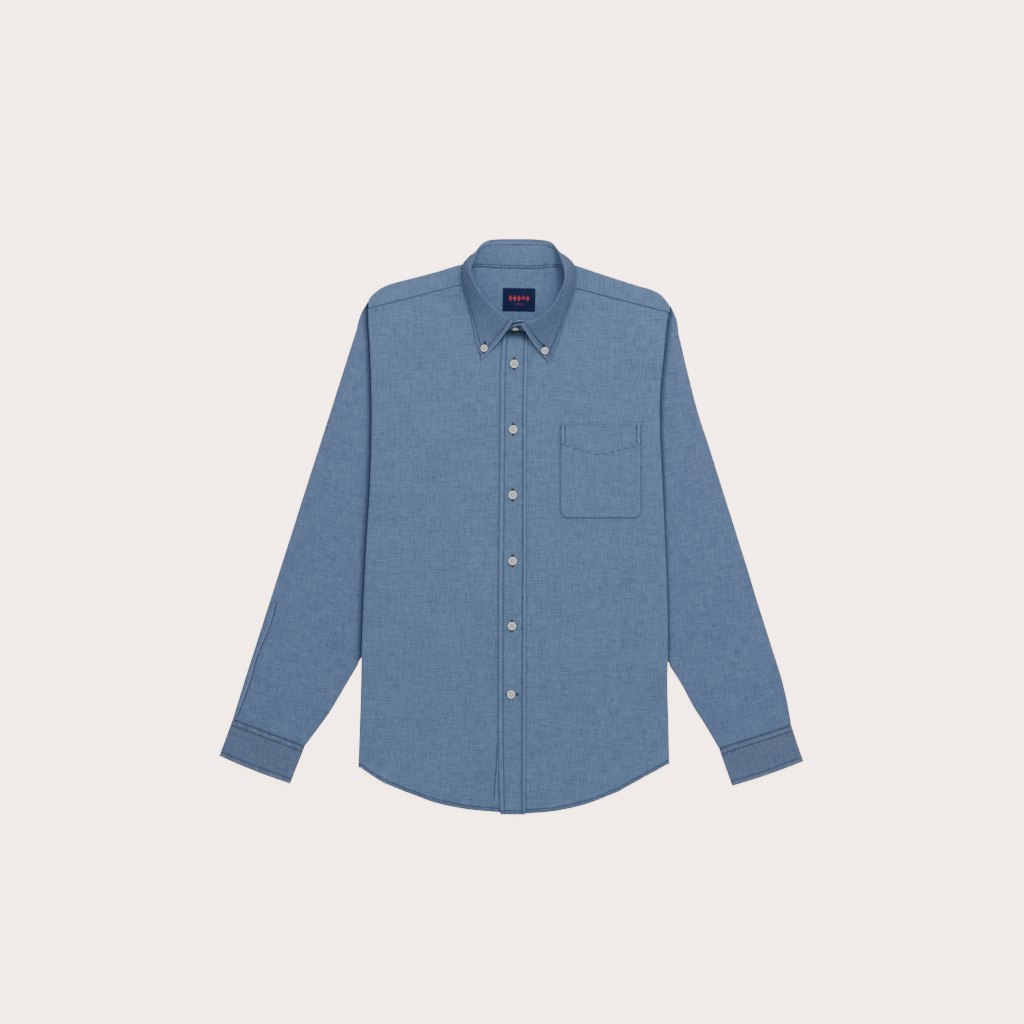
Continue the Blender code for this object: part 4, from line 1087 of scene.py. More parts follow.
def lay_yoke(finish):
    """The yoke; gives the points of its two shoulders."""
    parts, sides = [], []
    for side, table in (("right", SHOULDER_RIGHT), ("left", SHOULDER_LEFT)):
        points = yoke_columns(table, side, YOKE_SIDE_STEPS)
        marks = no_marks(points.shape[:2])
        marks[:, -3:, 0] = YOKE_SEAM_DARK
        weave = np.stack([running(points, 1) + YOKE_WEAVE, points[..., 0]], 2)
        parts.append(grid_piece(f"yoke_{side}_side", points, weave, marks))
        sides.append(points)
    middle = yoke_middle(*sides)
    weave = np.stack([middle[..., 1] - YOKE_SEAM_Y + YOKE_WEAVE, middle[..., 0]], 2)
    parts.append(grid_piece("yoke_middle", middle, weave, no_marks(middle.shape[:2])))
    piece = join_pieces(parts, "yoke_cloth")
    merge_doubles(piece)
    with editing(piece):
        bpy.ops.mesh.normals_make_consistent(inside=False)
    face_the_right_way(piece, False, (0.0, YOKE_SEAM_Y + 20.0, 0.0))
    finish_cloth(piece, WALL)
    area = sum(surface_area(part) for part in (*sides, middle))
    width = sides[1][-1, 0, 0] - sides[0][-1, 0, 0] + 2 * YOKE_TURN
    dress(piece, finish, "yoke", ((width * MM, YOKE_LONG), area))
    return sides


def sew_yoke(sides, thread):
    sew("yoke_stitches", [upward(points[3:-5, YOKE_STITCH_COLUMN]) for points in sides], thread)


# --- sleeves and cuffs ---
SLEEVE_LONG = 620.0
SLEEVE_PITCH = 3.6
SLEEVE_COLUMNS = 32
SLEEVE_EDGE_STEPS = 9
SLEEVE_END_STATIONS = (6.0, 4.0, 2.5, 1.2, 0.4, 0.0)
HEADING_ROWS = 8                        # an end's direction is read over this many rows
SLEEVE_CREASES = {
    "right": listed(Crease,
        (-296.0, -302.0, -244.0, -176.0, 8.0, 0.8),
        (-330.0, -286.0, -292.0, -150.0, 9.0, 0.7),
        (-356.0, -274.0, -322.0, -120.0, 6.0, 0.5), (-232.0, 120.0, -300.0, -60.0, 11.0, 0.5),
        (-212.0, 60.0, -262.0, -40.0, 9.0, 0.5), (-214.0, -110.0, -262.0, -196.0, 9.0, 0.6),
        (-232.0, -168.0, -300.0, -150.0, 8.0, 0.5)),
    "left": listed(Crease,
        (306.0, -300.0, 262.0, -190.0, 8.0, 0.8), (338.0, -290.0, 300.0, -160.0, 9.0, 0.7),
        (366.0, -282.0, 344.0, -130.0, 7.0, 0.6), (246.0, 150.0, 300.0, -40.0, 11.0, 0.5),
        (226.0, 20.0, 262.0, -96.0, 9.0, 0.5), (228.0, -120.0, 286.0, -216.0, 9.0, 0.6),
        (250.0, -128.0, 318.0, -120.0, 8.0, 0.5)),
}
CUFF_LONG = 55.0
CUFF_PITCH = 2.6
CUFF_COLUMNS = 44
CUFF_WEAVE = 27.0
CUFF_STATIONS = (0.0, 0.3, 1.0, 2.4, 4.0, 5.6, 6.8, 7.6, 8.4, 10.0)
CUFF_END_STATIONS = (10.6, 8.6, 7.4, 6.6, 5.8, 4.4, 2.8, 1.4, 0.4, 0.0)
CUFF_SEAM_STITCH = 7.6
CUFF_EDGE_STITCH = 6.6
SLEEVE_TUCK = (0.7, 1.6, 3.0, 4.6)      # the sleeve's end goes this far into the cuff
TUCK_INSET = 2.4
TUCK_SQUEEZE = 0.5
# Painted shade on the sleeve beside the body's folded side, and on the sleeve head under the
# shoulder.
SHADE_STRONG = {"right": 0.85, "left": 0.80}
SHADE_REACH = {"right": (10.5, 10.5), "left": (5.5, 11.0)}   # below, and by the shoulder
SLEEVE_HEAD = (4.2, 2.8, 1.4)           # the sleeve head rises this far behind the yoke
HEAD_INSET = (3.2, 1.8, 0.6)
HEAD_ROUND = {"right": 2.3, "left": 2.6}
HEAD_SHADE = 0.5
HEAD_SHADE_RISE = (284.0, 312.0)
GATHER = 0.55                           # the sleeve gathers a little into its cuff
GATHER_FOLDS = 9.0
GATHER_REACH = 26.0
SLEEVE_PLACKET_PITCH = 3.0
SLEEVE_PLACKET_ENDS = (0.0, 0.4, 1.2)
SLEEVE_PLACKET_COLUMNS = np.array([
    0.0, 0.04, 0.12, 0.25, 0.38, 0.5, 0.62, 0.74, 0.84, 0.91, 0.96, 0.985, 1.0])
SLEEVE_PLACKET_STITCH = 9               # the column that is stitched
SLEEVE_PLACKET_GRAIN = (0.95, 0.3)


def flat_ring(outer, inner, top, columns, edge_steps):
    """Sections of a flattened tube, all round: bottom, outer edge, top, inner edge."""
    radius = top / 2
    across = unit(inner - outer)
    start, end = outer + across * radius, inner - across * radius
    rings, kinds = [], []

    def add(flat, height, kind):
        rings.append(np.column_stack([flat, np.full(len(flat), height)]))
        kinds.append(kind)

    for j in range(columns + 1):
        add(mix(end, start, j / columns), 0.0, -1.0)
    for k in range(1, edge_steps):
        angle = math.pi * k / edge_steps
        add(start - across * radius * math.sin(angle), radius * (1 - math.cos(angle)), 0.0)
    for j in range(columns + 1):
        add(mix(start, end, j / columns), top, 1.0)
    for k in range(1, edge_steps):
        angle = math.pi * k / edge_steps
        add(end + across * radius * math.sin(angle), radius * (1 + math.cos(angle)), 0.0)
    rings.append(rings[0])
    kinds.append(kinds[0])
    return np.stack(rings, 1), np.array(kinds)


def first_top(kinds):
    """Number of the first column on the tube's upper side."""
    return int(np.argmax(kinds > 0))


def edges_at(table, at):
    row = row_at(table, at)
    return np.stack([row.out_x, row.out_y], 1), np.stack([row.in_x, row.in_y], 1)


def share_across(points, outer, inner):
    """How far across the tube each point lies, from 0 at its outer edge to 1."""
    reach = np.linalg.norm(points[..., :2] - outer[:, None], axis=2)
    return reach / np.linalg.norm(inner - outer, axis=1)[:, None]


def tube_cut(points, length):
    """Size all round the tube by its length, and the area of its cloth."""
    ring = float(running(points, 1)[:, -1].max()) * MM
    return (ring, length * MM), surface_area(points)


def tube_weave(points, kinds, axis):
    """Straight grain along the tube's axis, on round its edges."""
    axis = np.asarray(axis, float) / math.hypot(*axis)
    side = np.array([axis[1], -axis[0]])
    down = points[..., 0] * axis[0] + points[..., 1] * axis[1]
    step = np.diff(points[..., 0] * side[0] + points[..., 1] * side[1], axis=1)
    rise = np.diff(points[..., 2], axis=1)
    around = np.cumsum(np.pad(np.hypot(step, rise), ((0, 0), (1, 0))), axis=1)
    first = first_top(kinds)
    anchor = points[:, first, :2] @ side
    way = 1.0 if (points[0, first + 1, :2] - points[0, first, :2]) @ side > 0 else -1.0
    around = anchor[:, None] + way * (around - around[:, first:first + 1])
    return np.stack([around, down], 2)


def sleeve_edges(side, table):
    """The sleeve's edges from its head to inside the cuff, and the distance down its cloth."""
    down = stations(SLEEVE_LONG, SLEEVE_PITCH, (), SLEEVE_END_STATIONS)
    outer, inner = edges_at(table, down / SLEEVE_LONG * (len(table) - 1))
    tuck, head = np.array(SLEEVE_TUCK), np.array(SLEEVE_HEAD)
    step = HEADING_ROWS
    behind = heading((outer[0] + inner[0]) - (outer[step] + inner[step]))
    ahead = heading((outer[-1] + inner[-1]) - (outer[-1 - step] + inner[-1 - step]))
    narrow = heading(inner[-1] - outer[-1])
    head_narrow = heading(inner[0] - outer[0])
    interval = np.clip(down / SLEEVE_LONG * (len(table) - 1), 0.0, 1.0)
    outer = outer - head_narrow * (HEAD_ROUND[side] * np.sin(math.pi * interval))[:, None]
    head_inset = head_narrow * np.array(HEAD_INSET)[:, None]
    narrower = TUCK_INSET * ramp(tuck, 0.0, 1.2)[:, None]
    outer = np.concatenate([outer[0] + behind * head[:, None] + head_inset, outer,
                            outer[-1] + ahead * tuck[:, None] + narrow * narrower])
    inner = np.concatenate([inner[0] + behind * head[:, None], inner,
                            inner[-1] + ahead * tuck[:, None] - narrow * narrower])
    return outer, inner, np.concatenate([-head, down, SLEEVE_LONG + tuck])


def sleeve_rise(side, points, outer, inner, from_cuff):
    """Rise of the upper layer: its roundness, creases, and gathers at the cuff."""
    x, y = points[..., 0], points[..., 1]
    across = share_across(points, outer, inner)
    covered = np.where(y > ARMPIT_Y, side_x(y, side), inner[:, None, 0])
    clear = ramp(np.abs(x) - np.abs(covered), *BULGE_CLEAR)
    bulge = (SLEEVE_BULGE * clear * ramp(across, *BULGE_ACROSS)
             * ramp(outer[:, None, 1], *BULGE_DOWN))
    beside = ramp(across, 0.0, 0.10) * (1.0 - ramp(across, 0.90, 1.0))
    folds = 2 * math.pi * across * GATHER_FOLDS + 1.3 * np.sin(5.0 * across)
    gather = GATHER * np.sin(folds) * np.exp(-from_cuff / GATHER_REACH)
    creases = crease_height(SLEEVE_CREASES[side], x, y) * clear
    low = LOW_WAVES * (waves(x, y, 55.0) + 0.5 * waves(y, x, 21.0)) * clear
    return (bulge + (creases + np.maximum(low, -0.1) + gather) * beside
            - 0.3 * dent(from_cuff, 0.9))


def sleeve_marks(side, points, top, from_cuff):
    """Dark along the cuff's seam, partly painted shade, and painted shade beside the body and
    under the shoulder.
    """
    x, y = points[..., 0], points[..., 1]
    beside_body = np.abs(x) - np.abs(side_x(np.maximum(y, ARMPIT_Y - 40.0), side))
    reach = mix(*SHADE_REACH[side], ramp(y, -60.0, 250.0))
    under = SHADE_STRONG[side] * (1.0 - ramp(beside_body / reach, 0.0, 1.0))
    under = np.maximum(under, HEAD_SHADE * ramp(y, *HEAD_SHADE_RISE))
    armpit = ARMPIT_Y - 30.0
    marks = no_marks(x.shape)
    marks[..., 0] = 0.5 * dent(from_cuff, 1.0)
    marks[..., 2] = np.where(top & (y > armpit), under * ramp(y, armpit, ARMPIT_Y), 0.0)
    return marks


def open_armhole(piece, rows, faces_a_row):
    """Take away the inner edge down to the underarm, where the body covers it."""
    inner_edge = 2 * (SLEEVE_COLUMNS + 1) + SLEEVE_EDGE_STEPS - 1
    only(piece)
    bpy.ops.object.mode_set(mode="EDIT")
    bpy.ops.mesh.select_all(action="DESELECT")
    bpy.ops.object.mode_set(mode="OBJECT")
    for i in range(rows):
        for j in range(inner_edge, faces_a_row):
            piece.data.polygons[i * faces_a_row + j].select = True
    bpy.ops.object.mode_set(mode="EDIT")
    bpy.ops.mesh.select_mode(type="FACE")
    bpy.ops.mesh.delete(type="FACE")
    bpy.ops.object.mode_set(mode="OBJECT")


def lay_sleeve(side, table, finish):
    outer, inner, down = sleeve_edges(side, table)
    points, kinds = flat_ring(outer, inner, SLEEVE_TOP, SLEEVE_COLUMNS, SLEEVE_EDGE_STEPS)
    from_cuff = SLEEVE_LONG - down[:, None]
    top = kinds[None, :] > 0
    points[..., 2] += np.where(top, sleeve_rise(side, points, outer, inner, from_cuff), 0.0)
    squeezed = CUFF_TOP / 2 + (points[..., 2] - SLEEVE_TOP / 2) * TUCK_SQUEEZE
    points[..., 2] = mix(points[..., 2], squeezed, ramp(-from_cuff, 0.2, 1.4))
    weave = tube_weave(points, kinds, (outer[-1] + inner[-1]) - (outer[4] + inner[4]))
    piece = grid_piece(f"sleeve_{side}_cloth", points, weave,
                       sleeve_marks(side, points, top, from_cuff))
    head, tuck = len(SLEEVE_HEAD), len(SLEEVE_TUCK)
    underarm = head + int((len(down) - tuck - head) * UNDERARM_ROW / (len(table) - 1))
    open_armhole(piece, underarm, points.shape[1] - 1)
    merge_doubles(piece)
    face_the_right_way(piece, False, points[len(points) // 2, SLEEVE_COLUMNS // 2])
    finish_cloth(piece, WALL)
    dress(piece, finish, f"sleeve_{side}", tube_cut(points, SLEEVE_LONG))


def cuff_stitches(down, pucker):
    """Height and marks over a cuff by the distance from its seam and edge: dark along its
    stitch lines, seam and edge, partly painted shade, and painted highlights on its puckers.
    """
    from_edge = down.max() - down
    from_seam_line, from_edge_line = down - CUFF_SEAM_STITCH, from_edge - CUFF_EDGE_STITCH
    height = (-0.35 * dent(from_seam_line, 0.7) - 0.5 * dent(down, 0.5)
              + (0.20 + 0.34 * pucker) * dent(down - 3.9, 2.2)
              - 0.35 * dent(from_edge_line, 0.7)
              + (0.14 + 0.30 * pucker) * dent(from_edge - 3.3, 1.9))
    dark = np.maximum.reduce([0.75 * dent(from_seam_line, 0.75), 0.75 * dent(down, 0.9),
                              0.65 * dent(from_edge_line, 0.7), 0.35 * dent(from_edge, 0.6)])
    pale = (np.maximum(0.12 + 0.60 * pucker, 0.0)
            * np.maximum(dent(down - 3.9, 2.2), 0.9 * dent(from_edge - 3.3, 1.9)))
    return height, dark, pale


def lay_cuff(side, table, finish, thread):
    down = stations(CUFF_LONG, CUFF_PITCH, CUFF_STATIONS, CUFF_END_STATIONS)
    t = down / CUFF_LONG
    outer, inner = edges_at(table, t * (len(table) - 1))
    points, kinds = flat_ring(outer, inner, CUFF_TOP, CUFF_COLUMNS, SLEEVE_EDGE_STEPS)
    top = kinds[None, :] > 0
    u = share_across(points, outer, inner)
    way = heading(inner[0] - outer[0])
    forward = np.array([way[1], -way[0]]) if way[0] > 0 else np.array([-way[1], way[0]])
    swell = CUFF_BOW * (t ** 2)[:, None] * 4.0 * u * (1.0 - u)
    points[..., :2] += swell[..., None] * forward
    x, y = points[..., 0], points[..., 1]
    height, dark, pale = cuff_stitches(down[:, None] + 0.0 * u, waves(x, y, 8.5))
    beside = ramp(u, 0.0, 0.05) * (1.0 - ramp(u, 0.95, 1.0))
    points[..., 2] += np.where(top, height + 0.15 * waves(x, y, 38.0) * beside, 0.0)
    marks = no_marks(u.shape)
    marks[..., 0] = dark
    marks[..., 1] = np.where(top, pale, 0.0)
    weave = tube_weave(points, kinds, outer[-1] - outer[0])
    piece = grid_piece(f"cuff_{side}_cloth", points, weave[..., ::-1] + CUFF_WEAVE, marks)
    merge_doubles(piece)
    face_the_right_way(piece, False, points[len(points) // 2, CUFF_COLUMNS // 2])
    finish_cloth(piece, CUFF_WALL)
    first = first_top(kinds)
    lines = [upward(points[nearest(down, place), first:first + CUFF_COLUMNS + 1])
             for place in (CUFF_SEAM_STITCH, CUFF_LONG - CUFF_EDGE_STITCH)]
    stitches = sew(f"cuff_{side}_stitches", lines, thread)
    dress(piece, finish, f"cuff_{side}", tube_cut(points, CUFF_LONG),
          [stitches])


def lay_sleeve_placket(finish, thread):
    first = SLEEVE_PLACKET[0].y
    ends = SLEEVE_PLACKET_ENDS
    down = stations(first - SLEEVE_PLACKET[-1].y, SLEEVE_PLACKET_PITCH, ends, ends[::-1])
    y = first - down[:, None]
    line = read_table(SLEEVE_PLACKET, "y", "line", y)
    outer = read_table(SLEEVE_RIGHT, "out_y", "out_x", y) + SLEEVE_EDGE
    t = SLEEVE_PLACKET_COLUMNS[None]
    x = mix(outer, line, t)
    y = y + 0.0 * x
    from_line, from_edge = (1.0 - t) * (line - outer), t * (line - outer)
    low = SLEEVE_TOP + SEAM + WALL
    z = (mix(low, low + SLEEVE_PLACKET_TILT, t) - 0.5 * dent(from_line, 0.4)
         - 0.5 * dent(from_edge, 0.4) + 0.15 * waves(x, y, 16.0) * np.sin(math.pi * t))
    points = np.stack([x, y, z], 2)
    marks = no_marks(x.shape)
    # Painted shade along the sewn line where it lies over the sleeve, and a painted highlight
    # beside it.
    marks[..., 0] = 0.95 * dent(from_line, 0.9)
    marks[..., 1] = 0.4 * dent(from_line - 2.6, 1.3)
    across, lean = SLEEVE_PLACKET_GRAIN
    piece = lay_piece("sleeve_placket_cloth", points, weave_at(x * across + y * lean, y), marks,
                      probe=points[len(points) // 2, 6])
    stitches = sew("sleeve_placket_stitches", [upward(points[2:-2, SLEEVE_PLACKET_STITCH])],
                   thread)
    dress(piece, finish, "sleeve_placket_right", cut_of(points),
          [stitches])


# --- collar ---
LEAF_COLUMNS = 260
LEAF_STITCH = 5.5
LEAF_EDGE_ROWS = (12.0, 9.5, 7.6, 6.4, 5.5, 4.6, 3.2, 1.8, 0.8, 0.25, 0.0)
LEAF_ROWS = 26
# Painted shade over the leaf's left half, and a painted highlight along the fold of its ridge.
LEAF_SHADE = 0.10
LEAF_SHADE_RISE = (12.0, 42.0)
LEAF_RIDGE_HIGHLIGHT = 0.40
LEAF_TUCK = (3.3, 3.1, 2.6, 1.8, 0.9)   # the leaf goes on down the stand's inner side
LEAF_STEP = 1.15                        # and stands this far off it
LEAF_WEAVE = 11.0
LEAF_PROBE = (-6, 6)                    # a point on its upper side
RIB_WIDE = 26.0                         # from rib to rib at the leaf's front ends
TUCK_RIBS = (0.4, 1.6)
FRONT_EDGE_RIBS = (0.0, 0.012, 0.04, 0.09, 0.15, 0.21, 0.25, 0.29, 0.36, 0.46)
FRONT_STITCH_RIB = 0.25
STAND_TALL = 34.0
STAND_LOW_ROWS = (0.0, 0.5, 1.1, 1.8, 2.4, 3.0, 3.6, 4.6)
STAND_HIGH_ROWS = (8.0, 6.6, 5.4, 4.2, 3.3, 2.0, 1.0, 0.4, 0.0)
STAND_STITCH = 3.0
STAND_COLUMNS = 230
STAND_PITCH = 2.6
STAND_PROBE = (8, 120)                  # a point on its outer side, behind the neck
STAND_WEAVE = 83.0
TAB_COLUMNS = 16
# Painted highlight on the tabs' top edges, and painted shade below them.
TAB_EDGE_HIGHLIGHT = 0.8
TAB_SHADE = 0.6
FINE_STEPS = 80


def rib_points(rib):
    return (np.stack([rib.neck_x, rib.neck_y, rib.neck_z], -1),
            np.stack([rib.ridge_x, rib.ridge_y, rib.ridge_z], -1),
            np.stack([rib.edge_x, rib.edge_y, rib.edge_z], -1))


def inward_of(neck, ridge):
    """Direction from the stand's outer side to its inner side."""
    up = unit(ridge - neck)
    towards = np.array([*NECK_CENTRE, NECK_HEIGHT]) - (neck + ridge) / 2
    return unit(towards - up * (towards * up).sum(-1, keepdims=True))


def leaf_curves(at):
    """Bezier sections of the leaf: seam, over the ridge, down to the edge; and their bow."""
    neck, ridge, edge = rib_points(row_at(COLLAR, at))
    up = unit(ridge - neck)
    start = ridge - up * (STAND_DEPTH - 3 * SEAM) + inward_of(neck, ridge) * WALL
    lean = ramp(ridge[:, 2], *LEAF_LEAN)[:, None]
    level = start - edge
    level[:, 2] = 0.0
    over = start + up * mix(*LEAF_RISE, lean)
    fall = edge + level * mix(*LEAF_REACH, lean)
    drop = mix(*LEAF_DROP, ramp(np.linalg.norm(level, axis=1), *LEAF_LENGTH))
    fall[:, 2] += (ridge[:, 2] - edge[:, 2]) * lean[:, 0] * drop
    from_tip = np.minimum(at, len(COLLAR) - 1 - at)
    forward = unit(np.stack([-level[:, 1], level[:, 0], 0.0 * at], 1))
    forward[at < len(COLLAR) / 2] *= -1.0
    bow = forward * (LEAF_BOW * (1.0 - ramp(from_tip, 0.0, BOW_RIBS)))[:, None]
    tuck = up * ramp(from_tip, *TUCK_RIBS)[:, None]
    return start, over, fall, edge, bow, tuck, inward_of(neck, ridge)


def leaf_cloth():
    last = len(COLLAR) - 1
    ends = np.array(FRONT_EDGE_RIBS)
    middle = np.linspace(FRONT_EDGE_RIBS[-1], last - FRONT_EDGE_RIBS[-1], LEAF_COLUMNS)
    at = np.concatenate([ends[:-1], middle, (last - ends[:-1])[::-1]])
    start, over, fall, edge, bow, tuck, inward = leaf_curves(at)
    t = np.linspace(0.0, 1.0, FINE_STEPS + 1)[:, None, None] ** LEAF_CROWD
    s = 1.0 - t
    fine = start * s ** 3 + over * 3 * s * s * t + fall * 3 * s * t * t + edge * t ** 3
    fine = fine + bow * np.sin(math.pi * t)
    fine[..., 2] = np.maximum(fine[..., 2], 0.0)
    run = running(fine, 0)
    over_stand = inward * np.linalg.norm(tuck, axis=1, keepdims=True) * LEAF_STEP
    hidden = np.stack([start - tuck * d + over_stand * ramp(d, 0.0, 1.0) for d in LEAF_TUCK])
    points = np.empty((LEAF_ROWS + len(LEAF_EDGE_ROWS), len(at), 3))
    for j in range(len(at)):
        length = run[-1, j]
        near_edge = length - np.array(LEAF_EDGE_ROWS)
        rows = np.concatenate([np.linspace(0.0, near_edge[0], LEAF_ROWS + 1)[:-1], near_edge])
        for axis in range(3):
            points[:, j, axis] = np.interp(rows, run[:, j], fine[:, j, axis])
    points = np.concatenate([hidden, points])
    from_edge = running(points, 0)[-1] - running(points, 0)
    from_tip = np.minimum(at, last - at)[None, :] + 0.0 * from_edge
    return points, at, from_edge, from_tip


def leaf_relief(points, from_edge, from_tip):
    """Height and marks of the leaf: its stitched line, puckers, painted highlight on the ridge
    and painted shade.
    """
    run, over_top = running(points, 1), running(points, 0)
    over_top = over_top - np.take_along_axis(over_top, points[..., 2].argmax(0)[None, :], 0)
    side_stitch = (from_tip - FRONT_STITCH_RIB) * RIB_WIDE
    from_side = from_tip * RIB_WIDE
    pucker = waves(run, from_edge * 2.0, 9.0)
    height = (-0.36 * dent(from_edge - LEAF_STITCH, 0.6) - 0.36 * dent(side_stitch, 0.8)
              + (0.16 + 0.22 * pucker) * dent(from_edge - 2.8, 1.5)
              + (0.12 + 0.18 * pucker) * dent(from_side - 3.4, 1.6))
    on_floor = 1.0 - ramp(points[..., 2], 0.0, 2.0)
    height = np.where(on_floor > 0.9, 0.0, height)
    broken = 0.80 + 0.20 * waves(run * 1.3, from_edge, 7.0)
    lively = waves(run * 1.7, from_edge, 5.0)
    # Dark marks: the stitch lines, partly painted shade; painted shadow at the outer edge and
    # along the seam behind the stand; painted shade on the band inside the edges.
    dark = np.maximum.reduce([broken * dent(from_edge - LEAF_STITCH, 0.9),
                              broken * dent(side_stitch, 1.0), 0.55 * dent(from_edge, 0.7)])
    dark[:2] = 0.9
    marks = no_marks(from_edge.shape)
    marks[..., 0] = np.maximum(dark, (0.22 + 0.30 * lively) * np.maximum(
        dent(from_edge - 2.9, 0.9), dent(from_side - 3.2, 1.0)))
    # Pale marks are painted highlights on the rims and the ridge's fold; the shaded mark is
    # painted shade over the leaf's left half.
    marks[..., 1] = np.maximum.reduce([
        np.maximum(0.35 + 0.5 * lively, 0.0) * dent(from_edge - 4.3, 0.8),
        np.maximum(0.40 + 0.6 * lively, 0.0) * dent(from_edge - 1.3, 0.8),
        np.maximum(0.35 + 0.5 * lively, 0.0) * dent(from_side - 4.8, 0.9),
        np.maximum(0.70 + 0.4 * lively, 0.0) * dent(from_side - 0.6, 1.1),
        LEAF_RIDGE_HIGHLIGHT * dent(over_top + 1.2, 2.2)])
    marks[..., 2] = LEAF_SHADE * ramp(points[..., 0], *LEAF_SHADE_RISE)
    return height, marks


def leaf_seams(points, out, row, first, last):
    """The leaf's stitched lines: along its edge where that shows, and up both fronts."""
    edge, edge_out = points[row, first:last + 1], out[row, first:last + 1]
    shown = edge[:, 2] > 2.0
    breaks = np.flatnonzero(np.diff(shown.astype(int)))
    runs = []
    for part in np.split(np.arange(len(shown)), breaks + 1):
        if shown[part[0]] and len(part) > 3:
            runs.append((edge[part], edge_out[part]))
    for column in (first, last):
        runs.append((points[2:row + 1, column], out[2:row + 1, column]))
    return runs


def lay_collar_leaf(finish, thread):
    points, at, from_edge, from_tip = leaf_cloth()
    height, marks = leaf_relief(points, from_edge, from_tip)
    run = running(points, 1)
    flip = outward(points)[-3, 2, 2] < 0
    moved = raise_cloth(points, height, flip)
    weave = np.stack([run + LEAF_WEAVE, -from_edge], 2)
    piece = lay_piece("collar_leaf_cloth", moved, weave, marks, probe=moved[LEAF_PROBE])
    row = nearest(from_edge[:, 0], LEAF_STITCH)
    first = nearest(at, FRONT_STITCH_RIB)
    runs = leaf_seams(moved, outward(moved, flip), row, first, len(at) - 1 - first)
    stitches = sew("collar_leaf_stitches", runs, thread)
    flat = (float(run[-1, -1]) * MM, float(running(points, 0)[-1].max()) * MM)
    dress(piece, finish, "collar_leaf", (flat, surface_area(points)),
          [stitches])
    return moved


def stand_edges():
    """Lower and upper edge of the stand, with a tab at each end, and the tabs' columns."""
    at = np.linspace(0.0, len(COLLAR) - 1, STAND_COLUMNS)
    neck, ridge, _ = rib_points(row_at(COLLAR, at))
    top = ridge - unit(ridge - neck) * STAND_DEPTH
    tabs = []
    for table in (STAND_TAB_RIGHT, STAND_TAB_LEFT):
        row = row_at(table, np.linspace(0.0, len(table) - 1, TAB_COLUMNS))
        tabs.append((np.stack([row.neck_x, row.neck_y, row.neck_z], 1),
                     np.stack([row.top_x, row.top_y, row.top_z], 1)))
    base = np.concatenate([tabs[0][0], neck, tabs[1][0]])
    crest = np.concatenate([tabs[0][1], top, tabs[1][1]])
    on_tab = np.zeros(len(base))
    on_tab[:TAB_COLUMNS] = on_tab[-TAB_COLUMNS:] = 1.0
    return base, crest, on_tab


def lay_collar_stand(finish, thread):
    base, crest, on_tab = stand_edges()
    rows = stations(STAND_TALL, STAND_PITCH, STAND_LOW_ROWS, STAND_HIGH_ROWS)
    t = (rows / STAND_TALL)[:, None]
    points = mix(base, crest, t[..., None])
    run = running(points, 1)
    tall = np.linalg.norm(crest - base, axis=1)[None, :]
    low, high = t * tall, (1.0 - t) * tall
    pucker = waves(run, low * 2.0, 9.0)
    flip = outward(points)[STAND_PROBE][1] < 0
    height = (-0.22 * dent(low - STAND_STITCH, 0.6)
              + 0.14 * pucker * (dent(low - 1.4, 1.2) + dent(high - 5.6, 1.6)))
    moved = raise_cloth(points, -height, flip)
    # Dark along the stitch line and the neck seam, partly painted shade; painted highlights on
    # the puckers and the tabs' top edges; painted shade on the tabs below them.
    marks = no_marks(low.shape)
    marks[..., 0] = np.maximum(0.8 * dent(low - STAND_STITCH, 0.8), 0.8 * dent(low, 0.9))
    raised = np.maximum(pucker, 0.0)
    marks[..., 1] = np.maximum.reduce([0.75 * raised * dent(high - 5.4, 1.3),
                                       0.85 * raised * dent(low - 1.5, 0.9),
                                       TAB_EDGE_HIGHLIGHT * on_tab * dent(high, 1.4)])
    marks[..., 2] = TAB_SHADE * on_tab * ramp(high, 1.6, 4.0)
    weave = np.stack([run + STAND_WEAVE, low], 2)
    piece = grid_piece("collar_stand_cloth", moved, weave, marks)
    finish_stand(piece, moved[STAND_PROBE])
    row = nearest(t[:, 0] * STAND_TALL, STAND_STITCH)
    inward = outward(moved, flip)[row, 20:-20]
    stitches = sew("collar_stand_stitches", [(moved[row, 20:-20] + inward * WALL, inward)],
                   thread)
    flat = (float(run[STAND_PROBE[0], -1]) * MM, float(tall.max()) * MM)
    dress(piece, finish, "collar_stand", (flat, surface_area(points)),
          [stitches])


def finish_stand(piece, probe):
    """The stand's outer side looks away from the neck, and its wall goes inward."""
    away = probe[:2] - np.array(NECK_CENTRE)
    if np.array(nearest_normal(piece, probe)[:2]) @ away < 0:
        turn_over(piece)
    finish_cloth(piece, WALL)


# --- label ---
LABEL_PITCH = 1.5
LABEL_ENDS = (0.0, 0.2, 0.7, 1.4)
LABEL_ROUND = 0.12
LABEL_LINE = 1.4                        # a pressed line runs round it this far in
LABEL_TOP = WALL + SEAM + LABEL_WALL
DIAMOND_PLACES = (-12.0, -6.0, 0.0, 6.0, 12.0)
DIAMOND_Y = 2.0
DIAMOND_HALF = (2.7, 4.4)
DIAMOND_LIFT = 0.02
RULE_Y = -6.0
RULE_SIZE = (11.0, 0.7)
RULE_LIFT = 0.08
MOTIF_WALL = 0.08


def on_label(x, y):
    """Plan point of a place on the label, measured from its middle."""
    cos, sin = math.cos(LABEL_TURN), math.sin(LABEL_TURN)
    return (sum(LABEL_X) / 2 + x * cos - y * sin, sum(LABEL_Y) / 2 + x * sin + y * cos)


